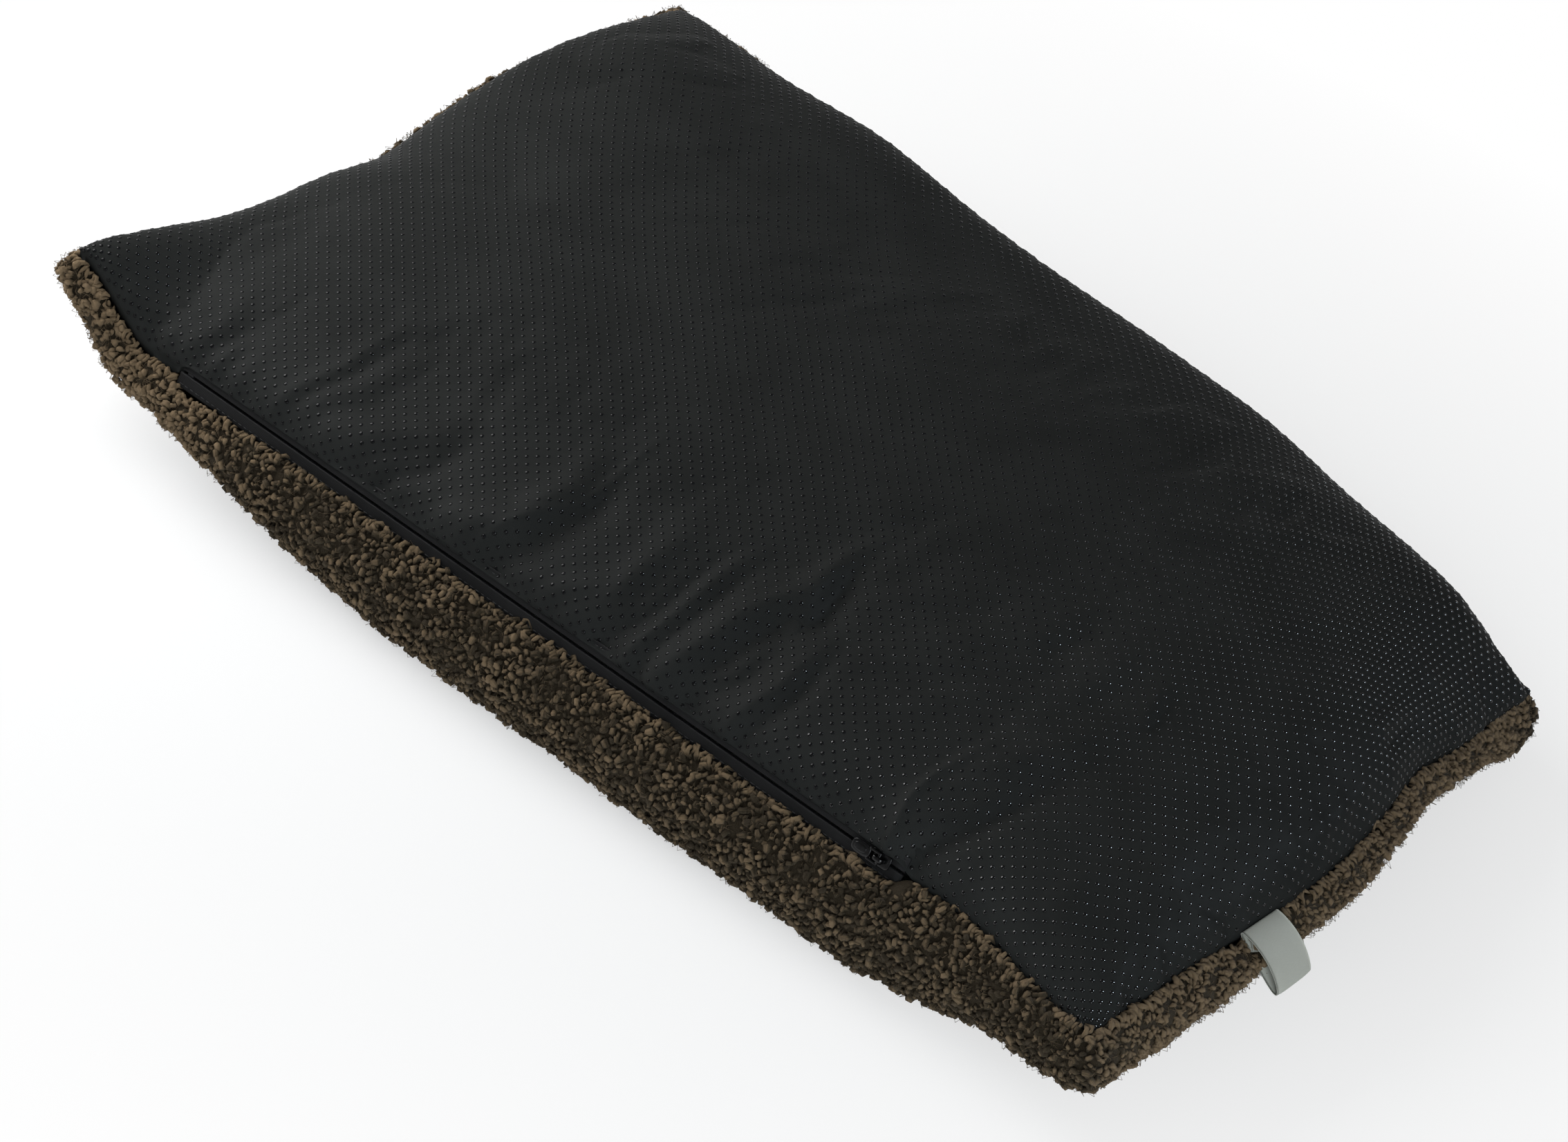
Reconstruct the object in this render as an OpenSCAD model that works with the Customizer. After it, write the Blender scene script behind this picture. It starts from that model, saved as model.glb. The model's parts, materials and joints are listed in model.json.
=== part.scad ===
// Zipped cushion: sherpa face below, dotted anti-slip face above, fibre-filled inner pad.
// +X runs along the length, the zip lies along the -Y edge, +Z points out of the anti-slip face.
// The origin is on the floor, below the middle of the cushion.

/* [Cushion] */
// Length of the anti-slip face between the middles of its short seams
panel_len = 556; // [440:1:760]
// Width of the anti-slip face between the middles of its long seams
panel_wid = 344; // [280:1:520]
// Height of the seam above the floor at the middles of the edges
seam_h = 46; // [40:1:70]
// Rise of the anti-slip face's crown above the seam
crown_h = 37; // [24:1:60]
// Height of the sherpa roll below the seam along the long edges
long_side_h = 34; // [24:1:38]
// Height of the sherpa roll below the seam along the short edges and at the corners
end_side_h = 15; // [12:1:24]
// How far the sherpa roll bulges out of the seam along the long edges
long_bulge = 14; // [10:1:20]
// How far the sherpa roll bulges out of the seam along the short edges and at the corners
end_bulge = 11; // [9:1:18]

/* [Corners] */
// Shift of the corner at -X, -Y, out of the drawn-in outline
corner_near_left = [-3, 0, 24]; // [-50:1:50]
// Shift of the corner at +X, -Y
corner_near_right = [0, -13, 0]; // [-50:1:50]
// Shift of the slumped corner at +X, +Y
corner_far_right = [-25, -37, -13]; // [-50:1:50]
// Shift of the corner at -X, +Y
corner_far_left = [6, 18, 15]; // [-50:1:50]
// Height of the wave in the -X seam
end_wave = 15; // [0:1:20]
// How far the +X seam is drawn in towards the slumped corner
end_pull = 11; // [0:1:16]

/* [Fabrics] */
// Thickness of the sherpa fabric with its pile lying flat
sherpa_t = 5; // [3:0.5:7]
// Thickness of the sherpa fabric at its sewn edge
sherpa_edge_t = 3; // [2:0.5:5]
// Thickness of the anti-slip fabric with its dots
panel_t = 1.2; // [0.8:0.1:2]
// Thickness of the inner pad's case
case_t = 0.8; // [0.5:0.1:1.5]
// How far the inner pad stays inside the seam
pad_inset = 14; // [10:1:24]
// Clearance between layers of fabric
layer_gap = 0.4; // [0.3:0.1:0.8]
// Width of the groove between the two sewn edges
seam_gap = 0.9; // [0.7:0.1:1.2]

/* [Zip] */
// Place of the zip's open end along the edge
zip_from = -217; // [-260:1:-120]
// Place of the zip's closed end along the edge
zip_to = 175; // [100:1:220]
// Slope of the zip's face
zip_tilt = 65; // [55:1:75]
// Width of each tape
tape_w = 6; // [5:0.5:8]
// Thickness of the tapes
tape_t = 0.6; // [0.4:0.1:0.9]
// Half of the hairline gap between the tapes
tape_gap = 0.5; // [0.4:0.1:0.8]
// Width of each coil
coil_w = 2.1; // [1.6:0.1:2.6]
// Height of each coil
coil_h = 1.8; // [1.4:0.1:2.2]
// Length of the slider
slider_len = 9.5; // [8:0.5:12]
// Thickness of the slider's plates
slider_plate = 1; // [0.8:0.1:1.4]
// Length of the pull tab from its hinge
tab_len = 13; // [11:1:30]
// Width of the pull tab
tab_w = 5.4; // [5:0.1:7]
// Thickness of the pull tab
tab_t = 1.2; // [0.9:0.1:1.6]
// Radius of the pull tab's hinge bar
tab_bar_r = 0.7; // [0.5:0.05:0.9]
// Running clearance of the slider and of the pull tab
slide_gap = 0.3; // [0.2:0.05:0.5]

/* [Label] */
// Width of the label along the seam
label_w = 22; // [14:1:30]
// Place of the label's middle along the short edge
label_y = -78; // [-110:1:-40]
// How far the label's fold stands off the sherpa roll
label_stand = 6.8; // [2:0.1:10]
// How far the label's fold hangs below the seam
label_drop = 12; // [8:1:24]
// Opening of the folded label
label_open = 5; // [3:0.5:8]
// Thickness of the label ribbon
label_t = 0.35; // [0.25:0.05:0.6]

/* [Hidden] */

half_len = panel_len / 2;
half_wid = panel_wid / 2;

// Shape of the crown: how square it is along and across, and how round its shoulders are
crown_along = 4;
crown_across = 2.5;
crown_round = 0.38;
// The underside lifts off the floor towards the edges by this power, and is cut flat where it rests
lift_power = 5;
rest_cut = 0.5;
// The far corners reach along the long edge to this share of its half length
far_right_start = 0.22;
far_left_start = 0.1;
// Wave in the -X seam: place along the seam, share of its height
WAVE = [
    [-1, 0], [-0.8, -0.6], [-0.6, -1], [-0.4, -0.67], [-0.2, -0.24], [0, -0.35], [0.2, 0.15],
    [0.4, 0.7], [0.5, 0.73], [0.7, 0.4], [0.9, 0.13], [1, 0]
];
// Middle and half length of the stretch where the +X seam is drawn in
pull_at = 0.25;
pull_half = 0.5;
// Fuller and slacker stretches of the sherpa roll: place round the edge, more height, more bulge.
// The place is 0 at the corner at -X, -Y, 1 at +X, -Y, 2 at +X, +Y and 3 at -X, +Y.
FULLER = [
    [0, 3, -2], [0.04, 2, -1], [0.09, -5, -3], [0.145, -5, -2], [0.2, 2, 0], [0.275, 8, 1.5],
    [0.35, 11.5, 3], [0.45, 12, 4], [0.75, 12.5, 4], [0.85, 13.5, 4], [0.89, 7, 2], [0.93, 1.5, 0.5],
    [1, 8, 3], [1.1, 6, 3], [1.2, 5, 2.5], [1.3, 2, 1], [1.5, -1, -1], [1.7, -2, -2], [1.85, -2, -3],
    [1.95, 9, -3], [2, 14, -3], [2.08, 5, -1], [2.2, 0, 0], [3.8, 0, 0], [4, 3, -2]
];
// The lip of the sherpa roll rises this far above the seam
lip_rise = 0.8;
// The sherpa roll turns through twice this angle
roll_turn = 75;
// How sharply the ends differ from the long edges, and how square the corners of the roll are
end_power = 6;
corner_power = 8;
// Share of the crown's height over which a fabric's thickness turns from level to upright
edge_share = 0.3;

// Opening of the cover along the zip: room round the tapes, and the stretch where it closes again
zip_margin = 3;
zip_ramp = 14;
slider_half_w = coil_w + tape_gap + 2 * slide_gap;
zip_half_gap = slider_half_w + 5 * slide_gap;
zip_rise = zip_half_gap * sin(zip_tilt);
zip_drop = zip_rise + lip_rise + layer_gap;
zip_clear = 2.6;
panel_edge_out = 0.6;

u_from = (zip_from - zip_margin) / half_len;
u_to = (zip_to + zip_margin) / half_len;
u_ramp = zip_ramp / half_len;

// Each corner: side in X, side in Y, start of its reach along the long edge, shift
CORNERS = [
    [-1, -1, u_ramp - u_from, corner_near_left],
    [1, -1, u_to + u_ramp, corner_near_right],
    [1, 1, far_right_start, corner_far_right],
    [-1, 1, far_left_start, corner_far_left]
];

function ease(t) = let (c = max(0, min(1, t))) c * c * (3 - 2 * c);
function steps(from, to, count) = [for (i = [0:count - 1]) from + (to - from) * i / count];

// Walk round the edge of the square u, v = -1 to 1
function walk(near, count_long, count_short) = concat(
    [for (u = near) [u, -1]],
    [for (v = steps(-1, 1, count_short)) [1, v]],
    [for (u = steps(1, -1, count_long)) [u, 1]],
    [for (v = steps(1, -1, count_short)) [-1, v]]
);
cover_walk = walk(
    concat(
        steps(-1, u_from - u_ramp, 2), steps(u_from - u_ramp, u_from, 1), steps(u_from, u_to, 13),
        steps(u_to, u_to + u_ramp, 1), steps(u_to + u_ramp, 1, 3)
    ),
    20, 12
);
pad_walk = walk(steps(-1, 1, 12), 12, 8);

// Place of the sewn sheet at u, v, without its crown
function corner_share(c, u, v) = u * c[0] <= 0 || v * c[1] <= 0
    ? 0
    : ease((abs(u) - c[2]) / (1 - c[2])) * ease(abs(v));
function corner_shift(u, v) = [for (c = CORNERS) corner_share(c, u, v)]
    * [for (c = CORNERS) c[3]];
function wave(u, v) = end_wave * pow(max(0, -u), end_power) * lookup(v, WAVE);
function pull(u, v) = end_pull * pow(max(0, u), end_power) * ease(1 - abs(v - pull_at) / pull_half);
function seam_at(u, v, inset) = [
    u * (half_len - inset) - pull(u, v), v * (half_wid - inset), seam_h + wave(u, v)
] + corner_shift(u, v);
function crown(u, v) = pow(
    max(0, (1 - pow(abs(u), crown_along)) * (1 - pow(abs(v), crown_across))),
    crown_round
);

// 1 along the zip and 0 elsewhere
function zip_open(u, v) = v == -1 && u > u_from - u_ramp / 2 && u < u_to + u_ramp / 2 ? 1 : 0;

// Anti-slip face, with t = 0 on its outside
function panel_at(u, v, t) = let (
    c = crown(u, v),
    z = zip_open(u, v)
) seam_at(u, v, t) + [0, -panel_edge_out * z, zip_rise * z + crown_h * c - t * ease(c / edge_share)];

// Sherpa roll: outward direction, height, bulge, and a point at an angle phi round the roll
function outward(u, v) = let (
    d = [sign(u) * pow(abs(u), corner_power), sign(v) * pow(abs(v), corner_power), 0]
) d / norm(d);
function long_share(u) = 1 - pow(abs(u), end_power);
function place_round(u, v) = v <= -1 ? (u + 1) / 2 : u >= 1 ? 1 + (v + 1) / 2
    : v >= 1 ? 2 + (1 - u) / 2 : 3 + (1 - v) / 2;
function fuller(u, v, column) = lookup(place_round(u, v), [for (f = FULLER) [f[0], f[column]]]);
function side_h(u, v) = end_side_h + (long_side_h - end_side_h) * long_share(u) + fuller(u, v, 1);
function bulge(u, v) = end_bulge + (long_bulge - end_bulge) * long_share(u) + fuller(u, v, 2);
function roll_low(u, v) = max(0, seam_at(u, v, 0)[2] - side_h(u, v));
function roll_at(u, v, phi, inner) = let (
    s = seam_at(u, v, 0),
    z = zip_open(u, v),
    out = (cos(phi) - cos(roll_turn)) / (1 - cos(roll_turn)),
    down = (sin(roll_turn) - sin(phi)) / (2 * sin(roll_turn)),
    top = s[2] + lip_rise - z * zip_drop - inner * sherpa_edge_t,
    bottom = roll_low(u, v) + inner * sherpa_t,
    reach = seam_gap + z * zip_clear + max(0, bulge(u, v) - inner * sherpa_t) * out
) [s[0], s[1], top + (bottom - top) * down] + reach * outward(u, v);

// Height of the underside at a share s of the way from the middle to the edge
function under_z(u, v, s) = max(0, roll_low(u, v) * pow(s, lift_power) - rest_cut);
function under_at(u, v, s, t) = let (p = seam_at(s * u, s * v, 0)) [p[0], p[1], under_z(u, v, s) + t];

// Inner pad: its top follows the anti-slip face and its bottom follows the sherpa face
// At its edge a layer keeps this share of its depth as height
pad_low = 4;
pad_power = 8;
pad_seam_half_gap = 0.7;
pad_edge_keep = 0.3;
function inset_seam_at(u, v, inset) = seam_at(u * (1 - inset / half_len), v * (1 - inset / half_wid), 0);
function pad_seam_at(u, v, t) = let (
    p = inset_seam_at(u, v, pad_inset + t)
) [p[0], p[1], inset_seam_at(u, v, pad_inset)[2] - pad_low];
function pad_top_at(u, v, t) = let (
    c = crown(u, v),
    rise = crown_h - panel_t - layer_gap + pad_low - pad_seam_half_gap
) pad_seam_at(u, v, t) + [0, 0, pad_seam_half_gap + rise * c - t * max(pad_edge_keep, ease(c / edge_share))];
function pad_bottom_at(u, v, s, t) = let (
    p = pad_seam_at(s * u, s * v, t),
    low = under_z(u, v, s) + sherpa_t + 2 * layer_gap + t,
    edge = pad_seam_at(u, v, t)[2] - pad_seam_half_gap + t * pad_edge_keep,
    up = 1 - sqrt(1 - pow(s, pad_power))
) [p[0], p[1], low + (edge - low) * up];

// Closed skin over rings of equal length, which run from one middle point out to the edge and back to the
// other middle point. The ways out and back split their faces alike, so that nested skins stay parallel.
module skin(first, rings_out, rings_back, last) {
    rings = concat(rings_out, rings_back);
    n = len(rings[0]);
    count = len(rings);
    points = concat([first], [for (r = rings) each r], [last]);
    end = count * n + 1;
    faces = concat(
        [for (j = [0:n - 1]) [0, 1 + (j + 1) % n, 1 + j]],
        [for (k = [0:count - 2], j = [0:n - 1]) let (a = 1 + k * n, b = a + n, i = (j + 1) % n)
            each k < len(rings_out)
                ? [[a + j, a + i, b + j], [a + i, b + i, b + j]]
                : [[a + j, a + i, b + i], [a + j, b + i, b + j]]],
        [for (j = [0:n - 1]) let (a = 1 + (count - 1) * n) [end, a + j, a + (j + 1) % n]]
    );
    polyhedron(points, faces, convexity = 6);
}

// Shares of the way to the edge where the skins have their rings, and shares of the roll's turn
panel_rings = [0.3, 0.55, 0.75, 0.88, 0.95, 0.985, 1];
under_rings_out = [0.4, 0.55, 0.7, 0.84, 0.94];
under_rings_in = [0.5, 0.72, 0.9];
roll_rings_out = [-1, -0.6, -0.13, 0.33, 0.73, 1];
roll_rings_in = [-1, -0.33, 0.33, 1];
pad_rings = [0.6, 0.85, 0.96, 1];
fill_t = case_t + 2 * layer_gap;
function reversed(list) = [for (i = [len(list) - 1:-1:0]) list[i]];

module sherpa_panel() {
    color([0.29, 0.25, 0.20])
    skin(
        [0, 0, 0],
        concat(
            [for (s = under_rings_out) [for (p = cover_walk) under_at(p[0], p[1], s, 0)]],
            [for (t = roll_rings_out) [for (p = cover_walk) roll_at(p[0], p[1], t * roll_turn, 0)]]
        ),
        concat(
            [for (t = reversed(roll_rings_in)) [for (p = cover_walk) roll_at(p[0], p[1], t * roll_turn, 1)]],
            [for (s = reversed(under_rings_in)) [for (p = cover_walk) under_at(p[0], p[1], s, sherpa_t)]]
        ),
        [0, 0, sherpa_t]
    );
}

module anti_slip_panel() {
    color([0.06, 0.065, 0.07])
    skin(
        panel_at(0, 0, panel_t),
        [for (s = panel_rings) [for (p = cover_walk) panel_at(s * p[0], s * p[1], panel_t)]],
        [for (s = reversed(panel_rings)) [for (p = cover_walk) panel_at(s * p[0], s * p[1], 0)]],
        panel_at(0, 0, 0)
    );
}

module inner_case_top() {
    color([0.88, 0.88, 0.86])
    skin(
        pad_top_at(0, 0, case_t),
        [for (s = pad_rings) [for (p = pad_walk) pad_top_at(s * p[0], s * p[1], case_t)]],
        [for (s = reversed(pad_rings)) [for (p = pad_walk) pad_top_at(s * p[0], s * p[1], 0)]],
        pad_top_at(0, 0, 0)
    );
}

module inner_case_bottom() {
    color([0.86, 0.86, 0.84])
    skin(
        pad_bottom_at(0, 0, 0, 0),
        [for (s = pad_rings) [for (p = pad_walk) pad_bottom_at(p[0], p[1], s, 0)]],
        [for (s = reversed(pad_rings)) [for (p = pad_walk) pad_bottom_at(p[0], p[1], s, case_t)]],
        pad_bottom_at(0, 0, 0, case_t)
    );
}

module fibre_fill() {
    color([0.95, 0.95, 0.94])
    skin(
        pad_bottom_at(0, 0, 0, fill_t),
        [for (s = pad_rings) [for (p = pad_walk) pad_bottom_at(p[0], p[1], s, fill_t)]],
        [for (s = reversed(pad_rings)) [for (p = pad_walk) pad_top_at(s * p[0], s * p[1], fill_t)]],
        pad_top_at(0, 0, fill_t)
    );
}

// Thread in the seam of the inner pad, as a closed square-section loop
module inner_case_stitching() {
    thread = 0.7;
    n = len(pad_walk);
    points = [for (p = pad_walk) let (c = pad_seam_at(p[0], p[1], case_t / 2),
        d = outward(p[0], p[1]) * thread / 2, h = [0, 0, thread / 2])
        each [c + d - h, c + d + h, c - d + h, c - d - h]];
    faces = [for (j = [0:n - 1], k = [0:3]) let (a = 4 * j, b = 4 * ((j + 1) % n), i = (k + 1) % 4)
        each [[a + k, a + i, b + k], [a + i, b + i, b + k]]];
    color([0.8, 0.8, 0.78])
    polyhedron(points, faces, convexity = 6);
}

// Zip: a frame with X along the zip, Y across it towards the anti-slip face and Z out of the cover
// Clearance between pieces that are sewn together
sewn_gap = 0.05;
stop_len = 3;
stop_end = 3;
coil_from = zip_from + stop_end + stop_len + slide_gap;
coil_to = zip_to - stop_end - stop_len - slide_gap;
coil_top = -tape_t / 2 - sewn_gap;
slider_x = coil_to - slider_len / 2;
slider_top = tape_t / 2 + slide_gap;
slider_low = coil_top - coil_h - slide_gap;
hinge_z = slider_top + slider_plate + tab_t / 2 + 2.5 * slide_gap;
thread_r = 0.25;
thread_end = 1;
thread_inset = 1.6;

module zip_frame() {
    translate([0, -half_wid, seam_h])
    rotate([zip_tilt, 0, 0])
    children();
}

module tape() {
    translate([zip_from, tape_gap, -tape_t / 2])
    cube([zip_to - zip_from, tape_w, tape_t]);
}

module coil() {
    coil_round = 1.25;
    translate([coil_from, tape_gap + coil_w / 2, coil_top - coil_h / 2])
    rotate([90, 0, 90])
    linear_extrude(coil_to - coil_from)
    intersection() {
        circle(d = coil_round * coil_w, $fn = 32);
        square([coil_w, coil_h], center = true);
    }
}

module zip_tape_upper() {
    color([0.03, 0.03, 0.03])
    zip_frame()
    tape();
}

module zip_tape_lower() {
    color([0.03, 0.03, 0.03])
    zip_frame()
    mirror([0, 1, 0])
    tape();
}

module zip_coil_upper() {
    color([0.05, 0.05, 0.05])
    zip_frame()
    coil();
}

module zip_coil_lower() {
    color([0.05, 0.05, 0.05])
    zip_frame()
    mirror([0, 1, 0])
    coil();
}

module rounded_plate(length, width, thick, r) {
    linear_extrude(thick)
    union() {
        square([length - 2 * r, width], center = true);
        square([length, width - 2 * r], center = true);
        for (x = [-1, 1], y = [-1, 1])
            translate([x * (length / 2 - r), y * (width / 2 - r)])
            circle(r, $fn = 32);
    }
}

// Slider: two plates joined by a thin neck, flanges round the coils, and a bridge for the pull tab
module zip_slider() {
    wall = slide_gap;
    neck_t = 1.2 * tape_gap;
    neck_len = 2;
    bridge_w = 1.8;
    bridge_t = 0.8;
    bridge_half = 2.7;
    bridge_leg = 1;
    bridge_top = hinge_z + tab_bar_r + slide_gap;
    corner_r = 1.6;
    color([0.02, 0.02, 0.02])
    zip_frame()
    translate([slider_x, 0, 0])
    union() {
        translate([0, 0, slider_top])
        rounded_plate(slider_len, 2 * slider_half_w, slider_plate, corner_r);
        translate([0, 0, slider_low - slider_plate])
        rounded_plate(slider_len, 2 * slider_half_w, slider_plate, corner_r);
        for (y = [-slider_half_w, slider_half_w - wall])
            translate([corner_r - slider_len / 2, y, slider_low - slider_plate / 2])
            cube([slider_len - 2 * corner_r, wall, coil_h]);
        translate([(slider_len - neck_len) / 3, -neck_t / 2, slider_low - slider_plate / 2])
        cube([neck_len, neck_t, slider_top - slider_low + slider_plate]);
        for (x = [-bridge_half, bridge_half - bridge_leg])
            translate([x, -bridge_w / 2, slider_top + slider_plate / 2])
            cube([bridge_leg, bridge_w, bridge_top - slider_top]);
        translate([-bridge_half, -bridge_w / 2, bridge_top])
        cube([2 * bridge_half, bridge_w, bridge_t]);
    }
}

// Pull tab: a hinge bar, two arms beside the bridge, and a round-ended plate lying along the zip
module zip_pull_tab() {
    arm_w = 1;
    window = 4.6;
    end_r = tab_w / 2;
    color([0.02, 0.02, 0.02])
    zip_frame()
    translate([slider_x, 0, hinge_z])
    union() {
        rotate([90, 0, 0])
        cylinder(r = tab_bar_r, h = tab_w, center = true, $fn = 32);
        for (y = [-tab_w / 2, tab_w / 2 - arm_w])
            translate([-window, y, -tab_t / 2])
            cube([window, arm_w, tab_t]);
        translate([end_r - tab_len, -tab_w / 2, -tab_t / 2])
        cube([tab_len - end_r - window, tab_w, tab_t]);
        translate([end_r - tab_len, 0, 0])
        cylinder(r = end_r, h = tab_t, center = true, $fn = 48);
    }
}

module zip_top_stops() {
    color([0.1, 0.1, 0.1])
    zip_frame()
    for (side = [0, 1])
        mirror([0, side, 0])
        translate([zip_to - stop_end - stop_len, tape_gap, coil_top - coil_h])
        cube([stop_len, coil_w, coil_h]);
}

module zip_bottom_stop() {
    color([0.1, 0.1, 0.1])
    zip_frame()
    translate([zip_from + stop_end, -tape_gap - coil_w, coil_top - coil_h])
    cube([stop_len, 2 * (tape_gap + coil_w), coil_h]);
}

// Thread that sews a tape under the edge of its panel
module zip_thread() {
    translate([zip_from + thread_end, tape_gap + tape_w - thread_inset, tape_t / 2 + thread_r + sewn_gap])
    rotate([0, 90, 0])
    cylinder(r = thread_r, h = zip_to - zip_from - 2 * thread_end, $fn = 16);
}

module zip_stitching_upper() {
    color([0.04, 0.04, 0.04])
    zip_frame()
    zip_thread();
}

module zip_stitching_lower() {
    color([0.04, 0.04, 0.04])
    zip_frame()
    mirror([0, 1, 0])
    zip_thread();
}

// Label: a ribbon folded into a loop, which hangs from the groove of the +X seam
// The middle line bends from its root in the groove, by its lead, to its tip at the fold
label_seam = seam_at(1, label_y / half_wid, 0);
label_root = [seam_gap / 2, lip_rise + 1.5 * label_t];
label_tip = [seam_gap + end_bulge + label_stand, -label_drop];
label_lead = [label_tip[0] * 0.53, label_drop * 0.65];
label_step = 0.01;
label_count = 14;
label_sewn = 0.12;
function label_middle(t) = label_root * pow(1 - t, 2) + label_lead * 2 * t * (1 - t) + label_tip * t * t;
function label_side(t) = let (
    d = label_middle(t + label_step) - label_middle(t - label_step)
) [-d[1], d[0]] / norm(d);
function label_width(t) = label_open / 2 * sqrt(t) * sqrt(max(0, 1 - pow(t, 4)));
function label_outline(from, to, grow) = let (ts = concat(steps(from, to, label_count), [to])) concat(
    [for (t = ts) label_middle(t) - label_side(t) * (label_width(t) + grow)],
    [for (t = reversed(ts)) label_middle(t) + label_side(t) * (label_width(t) + grow)]
);

module care_label() {
    color([0.62, 0.63, 0.60])
    translate([label_seam[0], label_seam[1] + label_w / 2, label_seam[2]])
    rotate([90, 0, 0])
    linear_extrude(label_w)
    difference() {
        polygon(label_outline(0, 1, label_t / 2));
        polygon(label_outline(label_sewn, 1 - label_step, -label_t / 2));
    }
}

module label_stitching() {
    tail = 4;
    tack_t = 0.5;
    tack_end = 1;
    color([0.55, 0.56, 0.53])
    translate([
        label_seam[0] + (seam_gap - tack_t) / 2, label_seam[1] - label_w / 2 + tack_end, label_seam[2] - tail
    ])
    cube([tack_t, label_w - 2 * tack_end, tail + lip_rise / 2]);
}

sherpa_panel();
anti_slip_panel();
inner_case_top();
inner_case_bottom();
inner_case_stitching();
fibre_fill();
zip_tape_upper();
zip_tape_lower();
zip_coil_upper();
zip_coil_lower();
zip_slider();
zip_pull_tab();
zip_top_stops();
zip_bottom_stop();
zip_stitching_upper();
zip_stitching_lower();
care_label();
label_stitching();
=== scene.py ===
"""Zipped cushion with a dotted anti-slip face, a sherpa face, a zip, a folded label and an inner pad.

Sizes are in millimetres in the formulas, as in the part's source, and become metres when a mesh is made.
+X runs along the length, the zip lies along the -Y edge and +Z points out of the anti-slip face.
"""

from __future__ import annotations

import json
import logging
import math
from dataclasses import dataclass, field
from enum import Enum

import bpy
import numpy as np
from mathutils import Matrix

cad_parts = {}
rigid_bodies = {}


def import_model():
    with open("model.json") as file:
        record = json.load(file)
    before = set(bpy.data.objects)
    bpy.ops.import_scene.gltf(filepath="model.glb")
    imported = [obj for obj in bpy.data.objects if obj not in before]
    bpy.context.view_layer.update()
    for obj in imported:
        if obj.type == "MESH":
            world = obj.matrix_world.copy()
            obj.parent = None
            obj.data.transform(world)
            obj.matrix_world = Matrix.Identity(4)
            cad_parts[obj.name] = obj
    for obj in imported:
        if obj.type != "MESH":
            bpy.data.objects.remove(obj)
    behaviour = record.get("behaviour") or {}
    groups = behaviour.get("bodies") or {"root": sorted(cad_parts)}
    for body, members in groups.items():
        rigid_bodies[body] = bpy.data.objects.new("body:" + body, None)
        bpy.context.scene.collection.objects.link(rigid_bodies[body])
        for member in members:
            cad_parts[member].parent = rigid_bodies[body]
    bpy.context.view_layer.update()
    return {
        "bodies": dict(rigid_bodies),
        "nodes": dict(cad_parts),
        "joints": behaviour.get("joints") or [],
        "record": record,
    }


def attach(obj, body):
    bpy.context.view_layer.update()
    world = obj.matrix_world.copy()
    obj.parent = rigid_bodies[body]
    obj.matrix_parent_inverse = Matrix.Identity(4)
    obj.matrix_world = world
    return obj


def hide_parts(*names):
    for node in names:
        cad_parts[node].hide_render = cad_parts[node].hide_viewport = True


LOG = logging.getLogger("cushion")
Array = np.ndarray
Material = bpy.types.Material
Random = np.random.Generator
Socket = bpy.types.NodeSocket
Pair = tuple[float, float]
Table = tuple[float, ...]
Triple = tuple[float, float, float]

MM = 0.001
UP = np.array([0.0, 0.0, 1.0])
# Shares of the length or width past which a place is on the edge itself
ON_EDGE = 0.9999
IMAGE_WIDTH = 2268
SENSOR_WIDTH = 36.0


class Body(Enum):
    """Bodies of the part that a piece can ride on."""

    COVER = "cover"
    SLIDER = "slider"
    PULL_TAB = "pull_tab"
    LABEL = "label"


class Edge(Enum):
    """Edges of the cushion, in the order of a walk round it from the near left corner."""

    NEAR = 0
    RIGHT = 1
    FAR = 2
    LEFT = 3


class Fold(Enum):
    """Cross-section of a crease: a step whose lower side is on the right, or a rounded ridge."""

    STEP = "step"
    RIDGE = "ridge"


def ease(t: Array) -> Array:
    """Smooth step from 0 to 1 with level ends."""
    c = np.clip(t, 0.0, 1.0)
    return c * c * (3.0 - 2.0 * c)


def unit(v: Array) -> Array:
    """Vectors along the last axis, scaled to length 1."""
    return v / np.maximum(np.linalg.norm(v, axis=-1, keepdims=True), 1e-9)


def spow(v: Array, power: float) -> Array:
    """Power of the size of v that keeps its sign."""
    return np.sign(v) * np.abs(v) ** power


def ripple(points: Array, wavelength: float, seed: int, count: int = 9) -> Array:
    """Smooth random field from -1 to 1: the sum of sine waves in random directions.

    Args:
        points: Places, with their coordinates along the last axis.
        wavelength: Middle wavelength of the waves.
        seed: Seed of the waves' directions and phases.
        count: Number of waves.

    Returns:
        One value per point.
    """
    rng = np.random.default_rng(seed)
    waves = unit(rng.normal(size=(count, points.shape[-1])))
    waves *= (2 * np.pi / wavelength) * rng.uniform(0.7, 1.4, (count, 1))
    phase = rng.uniform(0, 2 * np.pi, count)
    return np.sin(points @ waves.T + phase).sum(-1) / (1.4 * math.sqrt(count))


def soft_read(place: Array, at: Table, values: Table, blur: float, period: float | None = None) -> Array:
    """Table read by straight steps, with its kinks rounded by averaging over a short stretch.

    Args:
        place: Places to read at.
        at: Places of the table.
        values: Values of the table.
        blur: Half length of the stretch.
        period: Length after which the table repeats, if it does.

    Returns:
        One value per place.
    """
    shifts = np.linspace(-1, 1, 7) * blur
    return sum(np.interp(place + shift, at, values, period=period) for shift in shifts) / len(shifts)


def run_along(line: Array) -> Array:
    """Length of a line up to each of its points."""
    return np.concatenate([[0], np.cumsum(np.linalg.norm(np.diff(line, axis=0), axis=1))])


def lattice(first: Array, second: Array) -> tuple[Array, Array]:
    """All pairs of two lists of numbers, as two flat arrays."""
    a, b = np.meshgrid(first, second, indexing="ij")
    return a.ravel(), b.ravel()


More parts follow.
